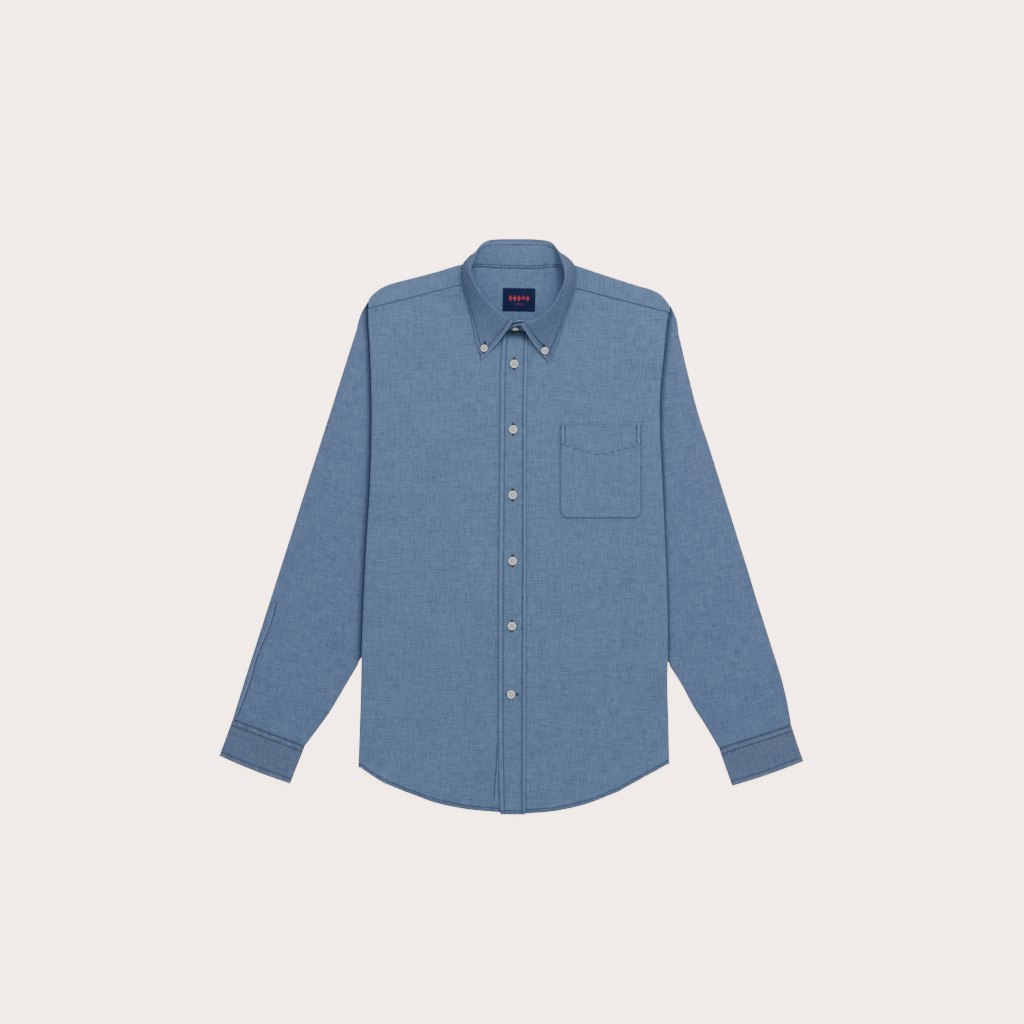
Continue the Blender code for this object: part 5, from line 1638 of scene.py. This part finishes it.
def lay_label(finish, red):
    width, height = LABEL_X[1] - LABEL_X[0], LABEL_Y[1] - LABEL_Y[0]
    ends = LABEL_ENDS
    a, d = np.meshgrid(stations(width, LABEL_PITCH, ends, ends[::-1]),
                       stations(height, LABEL_PITCH, ends, ends[::-1]))
    border = np.minimum(np.minimum(a, width - a), np.minimum(d, height - d))
    local_x, local_y = a - width / 2, height / 2 - d
    x, y = on_label(local_x, local_y)
    z = (LABEL_TOP - 0.35 * dent(border, 0.3) - 0.10 * dent(border - LABEL_LINE, 0.4)
         + 0.05 * waves(x, y, 14.0))
    points = np.stack([x, y, z], 2)
    marks = no_marks(x.shape)
    marks[..., 0] = 0.5 * dent(border - LABEL_LINE, 0.4)
    piece = lay_piece("label_cloth", points, weave_at(local_x, local_y), marks, LABEL_WALL,
                      edge_round=LABEL_ROUND)
    dress(piece, finish, "label", cut_of(points),
          [weave_motif(red)])


def place_on_label(x, y, size, lift):
    """Size what is selected about the origin, and move it to its place on the label."""
    bpy.ops.transform.resize(value=size, center_override=(0, 0, 0))
    place = (*on_label(x, y), LABEL_TOP + lift)
    bpy.ops.transform.translate(value=tuple(part * MM for part in place))


def weave_motif(red):
    """A row of plain woven diamonds over a short rule, raised off the label."""
    parts = []
    half_wide, half_tall = DIAMOND_HALF
    for x in DIAMOND_PLACES:
        bpy.ops.mesh.primitive_circle_add(vertices=4, radius=1.0, fill_type="NGON",
                                          location=(0.0, 0.0, 0.0))
        parts.append(bpy.context.object)
        with editing(parts[-1]):
            bpy.ops.mesh.inset(thickness=0.38, depth=0.0)
            bpy.ops.mesh.extrude_region_move(TRANSFORM_OT_translate={"value": (0.0, 0.0, 0.1)})
            bpy.ops.mesh.select_all(action="SELECT")
            place_on_label(x, DIAMOND_Y, (half_wide * MM, half_tall * MM, 1.2 * MM),
                           DIAMOND_LIFT)
    bpy.ops.mesh.primitive_plane_add(size=1.0, location=(0.0, 0.0, 0.0))
    parts.append(bpy.context.object)
    with editing(parts[-1]):
        bpy.ops.mesh.subdivide(number_cuts=3)
        place_on_label(0.0, RULE_Y, (RULE_SIZE[0] * MM, RULE_SIZE[1] * MM, 1.0), RULE_LIFT)
    motif = join_pieces(parts, "label_motif")
    apply_modifier(motif, "SOLIDIFY", thickness=MOTIF_WALL * MM)
    trim(motif, red)
    return motif


# --- buttons ---
BUTTON_PROFILE = [                      # radius and height, from the middle of the back
    (0.0, 0.25), (0.60, 0.10), (0.86, 0.30), (0.97, 0.62), (1.0, 0.80), (1.0, 1.25),
    (0.975, 1.75), (0.92, 2.20), (0.84, 2.50), (0.76, 2.60), (0.68, 2.48), (0.61, 2.10),
    (0.55, 1.86), (0.30, 1.80), (0.0, 1.80),
]
# Painted shade on the button's face by radius: a ring in the dish inside the rim, and a little
# at the rim's edge.
RING_SHADE = ([0.0, 0.20, 0.30, 0.40, 0.56, 0.66, 0.92, 1.0],
              [0.0, 0.0, 0.55, 0.75, 0.70, 0.0, 0.0, 0.25])
SHADED_ABOVE = 1.5
HOLE_REACH = 0.24
HOLE_RADIUS = 0.115
HOLE_SIDES = 20
HOLE_TOP = 1.7
BUTTON_SIDES = 48
TIE_BAR = (2 * HOLE_REACH + 0.18, 0.20, 1.1)
TIE_BAR_HEIGHT = 1.72
RIM_SHARE = 0.6                         # a button's rim lies beyond this share of its radius


def one_button():
    """Spin a plate with a raised rim round a dish, and sink four holes in it; radius 1 mm."""
    mesh = bpy.data.meshes.new("button_model")
    line = [(r, 0.0, z) for r, z in BUTTON_PROFILE]
    mesh.from_pydata(line, [(k, k + 1) for k in range(len(line) - 1)], [])
    model = link_piece("button_model", mesh)
    with editing(model):
        bpy.ops.mesh.spin(steps=BUTTON_SIDES, angle=2 * math.pi, center=(0, 0, 0),
                          axis=(0, 0, 1))
        bpy.ops.mesh.select_all(action="SELECT")
        bpy.ops.mesh.remove_doubles(threshold=1e-4)
        bpy.ops.mesh.normals_make_consistent(inside=False)
    drills = []
    for quarter in range(4):
        angle = math.pi / 4 + quarter * math.pi / 2
        bpy.ops.mesh.primitive_cylinder_add(
            vertices=HOLE_SIDES, radius=HOLE_RADIUS, depth=6.0,
            location=(HOLE_REACH * math.cos(angle), HOLE_REACH * math.sin(angle), 1.0))
        drills.append(bpy.context.object)
    drill = join_pieces(drills, "button_drill")
    apply_modifier(model, "BOOLEAN", object=drill, operation="DIFFERENCE", solver="EXACT")
    bpy.data.objects.remove(drill, do_unlink=True)
    bpy.ops.object.shade_smooth_by_angle(angle=math.radians(40))
    shade_button(model.data)
    return model


def shade_button(mesh):
    """Painted shade: marks that darken the dish inside the rim, and the holes most."""
    points = vertex_points(mesh)
    x, y, z = points.T
    shade = np.where(z > SHADED_ABOVE, np.interp(np.hypot(x, y), *RING_SHADE), 0.0)
    off = HOLE_REACH * 0.7071
    hole = np.hypot(np.abs(x) - off, np.abs(y) - off) < HOLE_RADIUS * 1.05
    values = np.zeros((len(points), 4), np.float32)
    values[:, 0] = np.maximum(shade, hole * (z < HOLE_TOP))
    values[:, 3] = 1.0
    layer = mesh.attributes.new("marks", "FLOAT_COLOR", "POINT")
    layer.data.foreach_set("color", values.ravel())


def vertex_points(mesh):
    points = np.empty(len(mesh.vertices) * 3, np.float32)
    mesh.vertices.foreach_get("co", points)
    return points.reshape(-1, 3)


def one_tie():
    """Thread through the four holes: two crossing bars and the shank below; radius 1 mm."""
    parts = []
    for angle in (math.pi / 4, -math.pi / 4):
        bpy.ops.mesh.primitive_uv_sphere_add(segments=10, ring_count=8, radius=0.5)
        parts.append(bpy.context.object)
        with editing(parts[-1]):
            bpy.ops.transform.resize(value=TIE_BAR, center_override=(0, 0, 0))
            bpy.ops.transform.rotate(value=angle, orient_axis="Z", center_override=(0, 0, 0))
            bpy.ops.transform.translate(value=(0.0, 0.0, TIE_BAR_HEIGHT))
    bpy.ops.mesh.primitive_cylinder_add(vertices=14, radius=0.30, depth=1.3,
                                        location=(0, 0, -0.30))
    parts.append(bpy.context.object)
    with editing(parts[-1]):
        bpy.ops.mesh.subdivide(number_cuts=2)
    bpy.ops.object.transform_apply(location=True, rotation=True, scale=True)
    tie = join_pieces(parts, "button_tie_model")
    only(tie)
    bpy.ops.object.shade_smooth_by_angle(angle=math.radians(50))
    return tie


Button = namedtuple("Button", "node x y radius turn lean shade", defaults=(0.0, 0.0))
BUTTONS = [
    Button("button_1", 4.1, 227.5, 5.75, 0.1), Button("button_2", 2.7, 135.8, 5.75, -0.2),
    Button("button_3", 2.0, 44.1, 5.75, 0.3), Button("button_4", 1.9, -48.3, 5.75, 0.0),
    Button("button_5", 1.0, -139.3, 5.75, -0.35), Button("button_6", -0.2, -235.1, 5.75, 0.2),
    Button("button_collar_right", -37.6, 249.6, 5.0, 0.1),
    Button("button_collar_left", 46.8, 246.1, 5.0, -0.1),
    Button("button_stand", 5.6, 276.6, 5.0, 0.0, 0.7, 0.55),
]


def node_frame(node):
    """Seat and upward axis of a CAD button, read from its own flat shape."""
    points = vertex_points(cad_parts[node].data)
    off = points - points.mean(0)
    _, _, axes = np.linalg.svd(off, full_matrices=False)
    axis = axes[2] * (1.0 if axes[2][2] > 0 else -1.0)
    rim = points[np.linalg.norm(np.cross(off, axis), axis=1)
                 > RIM_SHARE * np.abs(off @ axes[0]).max()]
    middle = rim.mean(0)
    return middle + axis * ((points - middle) @ axis).min(), axis


def set_button(button, model, tie, finish, thread):
    """Copy the modelled button and its thread to one CAD button's place."""
    seat, axis = node_frame(button.node)
    turn = Vector((0.0, 0.0, 1.0)).rotation_difference(Vector(axis)).to_matrix()
    turn = Matrix.Rotation(button.lean, 3, "X") @ turn
    spin = Matrix.Rotation(button.turn, 3, "Z")
    scale = Matrix.Diagonal((button.radius, button.radius, 1.0))
    place = Matrix.Translation(Vector(seat)) @ (turn @ spin @ scale * MM).to_4x4()
    place[3][3] = 1.0
    pieces = []
    for source, name, material in ((model, f"{button.node}_plate", finish),
                                   (tie, f"{button.node}_thread", thread)):
        piece = link_piece(name, source.data.copy())
        piece.data.name = name
        piece.data.transform(place)
        piece.data.update()
        trim(piece, material)
        pieces.append(piece)
    # A button that lies in shade gets painted shade over its whole plate, such as the stand's
    # button under the collar.
    for value in pieces[0].data.attributes["marks"].data:
        value.color = (max(value.color[0], button.shade), 0.0, 0.0, 1.0)
    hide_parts(button.node)


# --- buttonholes ---
Buttonhole = namedtuple("Buttonhole", "x y angle long")
BUTTONHOLES = listed(Buttonhole,
    (4.1, 227.9, 90.0, 16.6), (2.7, 136.1, 90.0, 16.6), (2.0, 44.4, 90.0, 16.6),
    (1.9, -48.2, 90.0, 16.6), (1.0, -139.3, 90.0, 16.2), (1.2, -235.1, 0.0, 16.6))
LEAF_BUTTONHOLES = listed(Buttonhole,
    (-36.8, 251.4, 92.0, 13.4), (45.9, 247.8, 92.0, 13.4))
HOLE_STANDS = 0.3
HOLE_BAR_PITCH = 0.75
HOLE_BAR_LONG = 1.6
HOLE_HALF_WIDE = 0.85
HOLE_END_BAR = 3.0
HOLE_END_STEPS = (0.0, 0.6)             # two bars lie side by side at each end
HOLE_END_REACH = 0.3
READ_WITHIN = 3.0


def on_placket(x, y):
    return on_front(np.array(x), np.array(y), WALL + SEAM) + HOLE_STANDS


def surface_reader(points):
    """A function for the highest laid point near a plan place."""
    flat = points.reshape(-1, 3)

    def height(x, y):
        near = np.hypot(flat[:, 0] - x, flat[:, 1] - y) < READ_WITHIN
        return flat[near, 2].max() + HOLE_STANDS
    return height


def lay_buttonhole(number, hole, surface, thread):
    """A dark slit between two rows of close thread, with bars at each end."""
    angle = math.radians(hole.angle)
    run = np.array([math.cos(angle), math.sin(angle)])
    side = np.array([-run[1], run[0]])
    middle = np.array([hole.x, hole.y])
    model = STITCH_POINTS / np.array(STITCH_SIZE)
    points, faces = [], []

    def bar(place, long, thick):
        other = np.array([-side[1], side[0]])
        top = surface(place[0], place[1])
        faces.extend(tuple(v + len(points) for v in face) for face in STITCH_FACES)
        for p in model:
            flat = place + side * p[0] * long + other * p[1] * thick
            points.append((flat[0], flat[1], float(top) + p[2] * 0.7))

    count = int(hole.long / HOLE_BAR_PITCH)
    for k in range(count):
        s = (k + 0.5) / count * hole.long - hole.long / 2
        for way in (-1.0, 1.0):
            bar(middle + run * s + side * way * HOLE_HALF_WIDE,
                HOLE_BAR_LONG * float(luck.uniform(0.95, 1.1)), 0.8)
    for end in (-1.0, 1.0):
        for step in HOLE_END_STEPS:
            bar(middle + run * end * (hole.long / 2 + HOLE_END_REACH - step), HOLE_END_BAR, 0.9)
    thread_piece(f"buttonhole_{number}", points, faces, thread)


# --- finishes ---
class Nodes:
    """A short way to lay out a material's nodes."""

    def __init__(self, name):
        self.made = bpy.data.materials.new(name)
        self.made.use_nodes = True
        self.tree = self.made.node_tree
        self.shader = self.tree.nodes["Principled BSDF"]

    def add(self, kind, **settings):
        node = self.tree.nodes.new(kind)
        for key, value in settings.items():
            setattr(node, key, value)
        return node

    def feed(self, socket, value):
        if isinstance(value, bpy.types.NodeSocket):
            self.tree.links.new(value, socket)
        else:
            socket.default_value = value

    def fill(self, node, values):
        for key, value in values.items():
            self.feed(node.inputs[key], value)

    def finish(self, values):
        self.fill(self.shader, values)

    def math(self, operation, *values):
        node = self.add("ShaderNodeMath", operation=operation)
        for socket, value in zip(node.inputs, values):
            self.feed(socket, value)
        return node.outputs[0]

    def times(self, first, second):
        return self.math("MULTIPLY", first, second)

    def plus(self, first, second):
        return self.math("ADD", first, second)

    def sine(self, value, pitch):
        """A wave along a coordinate, half of it to each pitch."""
        return self.math("SINE", self.times(value, math.pi / pitch))

    def ribs(self, value, pitch):
        return self.math("ABSOLUTE", self.sine(value, pitch))

    def split(self, socket, kind="ShaderNodeSeparateXYZ"):
        node = self.add(kind)
        self.feed(node.inputs[0], socket)
        return [node.outputs[k] for k in range(3)]

    def weave(self):
        """The cloth's own two directions, from its UV map."""
        u, v, _ = self.split(self.add("ShaderNodeUVMap", uv_map="UVMap").outputs["UV"])
        return u, v

    def place(self):
        return self.add("ShaderNodeTexCoord").outputs["Object"]

    def marks(self):
        """How dark (stitching and painted shade), how pale (painted highlight) and how shaded
        (painted shade) the piece is marked.
        """
        node = self.add("ShaderNodeAttribute", attribute_name="marks",
                        attribute_type="GEOMETRY")
        return self.split(node.outputs["Color"], "ShaderNodeSeparateColor")

    def noise(self, vector, scale=1.0, detail=2.0, roughness=0.5):
        node = self.add("ShaderNodeTexNoise")
        self.fill(node, {"Vector": vector, "Scale": scale, "Detail": detail,
                         "Roughness": roughness})
        return node.outputs["Fac"]

    def slub(self, u, v, slub):
        """Noise drawn out along the threads."""
        node = self.add("ShaderNodeCombineXYZ")
        for socket, value in zip(node.inputs, (self.times(u, slub.across),
                                               self.times(v, slub.along), slub.shift)):
            self.feed(socket, value)
        return self.noise(node.outputs[0], 1.0, slub.detail, slub.roughness)

    def blend(self, amount, first, second):
        """Mix two colours, each a socket or plain red, green and blue."""
        node = self.add("ShaderNodeMix", data_type="RGBA")
        sockets = [s for s in node.inputs if s.type == "RGBA"]
        self.feed(node.inputs["Factor"], amount)
        for socket, colour in zip(sockets, (first, second)):
            self.feed(socket, (*colour, 1.0) if isinstance(colour, tuple) else colour)
        return [s for s in node.outputs if s.type == "RGBA"][0]

    def bump(self, height, strength, distance):
        node = self.add("ShaderNodeBump")
        self.fill(node, {"Strength": strength, "Distance": distance, "Height": height})
        self.finish({"Normal": node.outputs["Normal"]})


# Pitches are in metres; noise is scaled per metre across and along the threads.
THREAD_PITCH = 0.00046
SATIN_PITCH = 0.00032
MOTIF_PITCH = 0.0004
TWIST_PITCH = 0.0006
Slub = namedtuple("Slub", "across along shift detail roughness weight")
SLUBS = {
    "warp": Slub(640.0, 64.0, 0.0, 2.0, 0.5, 0.80),
    "weft": Slub(58.0, 620.0, 7.0, 2.0, 0.5, 0.80),
    "broad_warp": Slub(210.0, 16.0, 3.0, 1.0, 0.5, 0.24),
    "broad_weft": Slub(14.0, 210.0, 5.0, 1.0, 0.5, 0.24),
    "fleck": Slub(520.0, 520.0, 1.0, 3.0, 0.65, 1.15),
    "cloud": Slub(14.0, 14.0, 2.0, 3.0, 0.55, 0.18),
}
# Noise that breaks up the dark marks of stitching and painted shade, and the pale marks of
# painted highlight.
STITCH_AND_SHADE_BREAKS = Slub(210.0, 210.0, 9.0, 2.0, 0.5, 1.6)
SATIN_FLECK = Slub(420.0, 1900.0, 0.0, 2.0, 0.5, 0.6)
WEFT_SHOWS = 0.28
# Dark marks blend toward dim indigo, for stitching and painted shade; pale marks toward lit
# weft, a painted highlight.
STITCH_AND_SHADE_DARK = 0.15
SHADE_OF_INDIGO = 0.30
PAINTED_HIGHLIGHT_OF_WEFT = 1.35
INDIGO = (0.054, 0.099, 0.200)
WEFT = (0.170, 0.261, 0.433)
INDIGO_SLEEVE = (0.052, 0.092, 0.195)
WEFT_SLEEVE = (0.167, 0.245, 0.420)
INDIGO_CUFF = (0.051, 0.082, 0.163)
WEFT_CUFF = (0.162, 0.217, 0.352)
INDIGO_LEAF = (0.048, 0.086, 0.173)
WEFT_LEAF = (0.152, 0.227, 0.372)
NAVY = (0.004, 0.009, 0.041)
NAVY_LIGHT = (0.012, 0.021, 0.076)
RED = (0.42, 0.012, 0.030)
THREAD = (0.040, 0.066, 0.110)
DARK_THREAD = (0.012, 0.016, 0.028)
TIE_THREAD = (0.88, 0.86, 0.82)
PEARL = (0.82, 0.80, 0.74)
PEARL_LIGHT = (0.97, 0.96, 0.93)
PEARL_SHADE = (0.16, 0.15, 0.14)
FLOOR_COLOUR = (0.80, 0.77, 0.75)
FLOOR_GLOW = (5.10, 3.66, 3.08)


def chambray(name, indigo, pale):
    """Plain weave of blue warp and pale weft, slubbed both ways, dark along its stitching; its
    marks also paint shade and highlights on it.
    """
    n = Nodes(name)
    u, v = n.weave()
    slubs = {key: n.slub(u, v, slub) for key, slub in SLUBS.items()}
    over = n.times(n.sine(u, THREAD_PITCH), n.sine(v, THREAD_PITCH))
    amount = n.plus(0.5, n.times(over, WEFT_SHOWS))
    for key, slub in SLUBS.items():
        amount = n.plus(amount, n.times(n.math("SUBTRACT", slubs[key], 0.5), slub.weight))
    amount = n.math("MINIMUM", n.math("MAXIMUM", amount, 0.0), 1.0)
    colour = n.blend(amount, indigo, pale)

    # The marks: dark for stitching and painted shade, pale for painted highlight, shaded for
    # painted shade.
    dark, light, shaded = n.marks()
    uneven = n.times(n.slub(u, v, STITCH_AND_SHADE_BREAKS), STITCH_AND_SHADE_BREAKS.weight)
    dark = n.times(dark, n.plus(STITCH_AND_SHADE_DARK, uneven))
    light = n.times(light, uneven)
    shade = tuple(c * SHADE_OF_INDIGO for c in indigo)
    painted_highlight = tuple(min(1.0, c * PAINTED_HIGHLIGHT_OF_WEFT) for c in pale)
    colour = n.blend(n.math("MINIMUM", dark, 1.0), colour, shade)
    colour = n.blend(n.math("MINIMUM", light, 1.0), colour, painted_highlight)
    colour = n.blend(shaded, colour, shade)
    n.finish({"Base Color": colour, "Roughness": n.plus(0.82, n.times(slubs["fleck"], 0.12)),
              "Specular IOR Level": 0.12, "Sheen Weight": 0.04, "Sheen Roughness": 0.45})

    ridge = n.math("MAXIMUM", n.ribs(u, THREAD_PITCH), n.ribs(v, THREAD_PITCH))
    height = n.plus(n.times(ridge, 0.45),
                    n.plus(n.times(slubs["warp"], 0.5), n.times(slubs["weft"], 0.5)))
    n.bump(n.plus(height, n.times(slubs["fleck"], 0.35)), 0.35, 0.00030)
    return n.made


def satin(name, base, light):
    """The label's close satin, its fine ribs running across."""
    n = Nodes(name)
    u, v = n.weave()
    rib = n.ribs(v, SATIN_PITCH)
    fleck = n.slub(u, v, SATIN_FLECK)
    amount = n.times(n.plus(n.times(rib, 0.5), fleck), SATIN_FLECK.weight)
    n.finish({"Base Color": n.blend(amount, base, light), "Roughness": 0.6,
              "Specular IOR Level": 0.05})
    n.bump(n.plus(rib, fleck), 0.3, 0.00012)
    return n.made


def motif_yarn(name, base):
    """The motif's dyed yarn, ribbed across."""
    n = Nodes(name)
    rib = n.ribs(n.split(n.place())[0], MOTIF_PITCH)
    dark = tuple(c * 0.55 for c in base)
    n.finish({"Base Color": n.blend(rib, dark, base), "Roughness": 0.6})
    n.bump(rib, 0.4, 0.0001)
    return n.made


def yarn(name, base):
    """Sewing thread: twisted strands and a little fuzz."""
    n = Nodes(name)
    place = n.place()
    fuzz = n.noise(place, 2600.0)
    x, y, _ = n.split(place)
    strand = n.ribs(n.plus(x, y), TWIST_PITCH)
    dark = tuple(c * 0.6 for c in base)
    pale = tuple(min(1.0, c * 1.35) for c in base)
    colour = n.blend(n.times(n.plus(fuzz, strand), 0.55), dark, pale)
    n.finish({"Base Color": colour, "Roughness": 0.75, "Sheen Weight": 0.15})
    n.bump(strand, 0.3, 0.0001)
    return n.made


def pearl(name):
    """Off-white polished button, faintly clouded, darkened where its marks paint shade."""
    n = Nodes(name)
    place = n.place()
    cloud = n.noise(place, 320.0, 3.0, 0.6)
    swirl = n.add("ShaderNodeTexWave", wave_type="BANDS", bands_direction="DIAGONAL")
    n.fill(swirl, {"Vector": place, "Scale": 180.0, "Distortion": 6.0, "Detail": 2.0})
    mixed = n.times(n.plus(cloud, swirl.outputs["Fac"]), 0.5)
    colour = n.blend(n.marks()[0], n.blend(mixed, PEARL, PEARL_LIGHT), PEARL_SHADE)
    n.finish({"Base Color": colour, "Roughness": n.plus(0.22, n.times(cloud, 0.14)),
              "Coat Weight": 0.35, "Coat Roughness": 0.12})
    n.bump(cloud, 0.08, 0.0002)
    return n.made


def pale_surface(name):
    """Matt pale surface, lit a little from itself."""
    n = Nodes(name)
    grain = n.noise(n.place(), 90.0, 3.0)
    darker = tuple(c * 0.995 for c in FLOOR_COLOUR)
    n.finish({"Base Color": n.blend(grain, FLOOR_COLOUR, darker), "Roughness": 1.0,
              "Specular IOR Level": 0.0, "Emission Color": (*FLOOR_GLOW, 1.0),
              "Emission Strength": 1.0})
    return n.made


# --- floor, light, camera ---
# Sizes here are metres.
FLOOR_SIZE = 14.0
FLOOR_DROP = 0.0004
SKY_COLOUR = (1.0, 0.985, 0.97)
SKY_STRENGTH = 0.76
KEY_COLOUR = (1.0, 0.985, 0.965)
KEY_PLACE = (0.50, 1.35, 1.50)
KEY_POWER = 22.5
KEY_SIZE = 0.8
CAMERA_HEIGHT = 8.0
CAMERA_FAR = 40.0
FRAME_WIDE = 1.4336                     # the picture's width on the floor
FRAME_CENTRE = (0.00105, 0.0203)
SENSOR = 36.0                           # millimetres


def lay_floor():
    bpy.ops.mesh.primitive_plane_add(size=FLOOR_SIZE, location=(0.0, 0.0, -FLOOR_DROP))
    floor = named(bpy.context.object, "floor")
    floor.data.materials.append(pale_surface("pale_surface"))
    floor.visible_diffuse = False
    floor.visible_glossy = False


def set_light():
    world = bpy.context.scene.world or bpy.data.worlds.new("studio")
    bpy.context.scene.world = world
    world.use_nodes = True
    sky = world.node_tree.nodes["Background"]
    sky.inputs["Color"].default_value = (*SKY_COLOUR, 1.0)
    sky.inputs["Strength"].default_value = SKY_STRENGTH
    bpy.ops.object.light_add(type="AREA", location=KEY_PLACE)
    key = bpy.context.object
    key.name = "key_light"
    key.data.energy = KEY_POWER
    key.data.size = KEY_SIZE
    key.data.color = KEY_COLOUR
    key.rotation_euler = (-Vector(KEY_PLACE)).to_track_quat("-Z", "Y").to_euler()


def set_camera():
    bpy.ops.object.camera_add(location=(*FRAME_CENTRE, CAMERA_HEIGHT), rotation=(0.0, 0.0, 0.0))
    camera = bpy.context.object
    camera.name = "camera"
    camera.data.sensor_width = SENSOR
    camera.data.lens = SENSOR * CAMERA_HEIGHT / FRAME_WIDE
    camera.data.clip_end = CAMERA_FAR
    bpy.context.scene.camera = camera


# --- the shirt ---
HEM_UNDER_PLACKET = 15                  # the left hem's first columns lie under the placket


def build_shirt():
    body = chambray("chambray_body", INDIGO, WEFT)
    sleeve = chambray("chambray_sleeve", INDIGO_SLEEVE, WEFT_SLEEVE)
    cuff = chambray("chambray_cuff", INDIGO_CUFF, WEFT_CUFF)
    leaf = chambray("chambray_leaf", INDIGO_LEAF, WEFT_LEAF)
    thread = yarn("sewing_thread", THREAD)
    dark_thread = yarn("buttonhole_thread", DARK_THREAD)
    tie_thread = yarn("button_thread", TIE_THREAD)

    lay_back(body)
    sew_yoke(lay_yoke(body), thread)
    right, right_hem, right_columns = lay_front("right", hidden_edge, body)
    left, left_hem, left_columns = lay_front("left", placket_edge, body)
    placket, placket_seams, placket_hem = lay_placket(body)
    lay_pocket(body)
    sew_pocket(thread)
    sew("hem_stitches", [upward(right[right_hem, :right_columns]),
                         upward(left[left_hem, HEM_UNDER_PLACKET:left_columns]),
                         upward(placket[placket_hem])], thread)
    sew("placket_stitches", [upward(placket[2:-2, column]) for column in placket_seams], thread)
    lay_sleeve("right", SLEEVE_RIGHT, sleeve)
    lay_sleeve("left", SLEEVE_LEFT, sleeve)
    lay_sleeve_placket(sleeve, thread)
    lay_cuff("right", CUFF_RIGHT, cuff, thread)
    lay_cuff("left", CUFF_LEFT, cuff, thread)
    lay_collar_stand(body, thread)
    on_leaf = surface_reader(lay_collar_leaf(leaf, thread))
    lay_label(satin("label_satin", NAVY, NAVY_LIGHT), motif_yarn("motif_yarn", RED))
    holes = ([(hole, on_placket) for hole in BUTTONHOLES]
             + [(hole, on_leaf) for hole in LEAF_BUTTONHOLES])
    for number, (hole, surface) in enumerate(holes, 1):
        lay_buttonhole(number, hole, surface, dark_thread)
    model, tie = one_button(), one_tie()
    finish = pearl("button_pearl")
    for button in BUTTONS:
        set_button(button, model, tie, finish, tie_thread)
    bpy.data.objects.remove(model, do_unlink=True)
    bpy.data.objects.remove(tie, do_unlink=True)


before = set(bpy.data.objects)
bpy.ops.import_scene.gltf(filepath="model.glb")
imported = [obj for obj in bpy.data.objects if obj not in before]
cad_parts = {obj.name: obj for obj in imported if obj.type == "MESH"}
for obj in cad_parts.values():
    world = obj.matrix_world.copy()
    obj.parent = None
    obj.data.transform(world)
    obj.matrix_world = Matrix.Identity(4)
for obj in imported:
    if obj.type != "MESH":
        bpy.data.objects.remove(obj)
bpy.ops.object.select_all(action="DESELECT")
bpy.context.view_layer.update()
lay_floor()
set_light()
set_camera()
build_shirt()
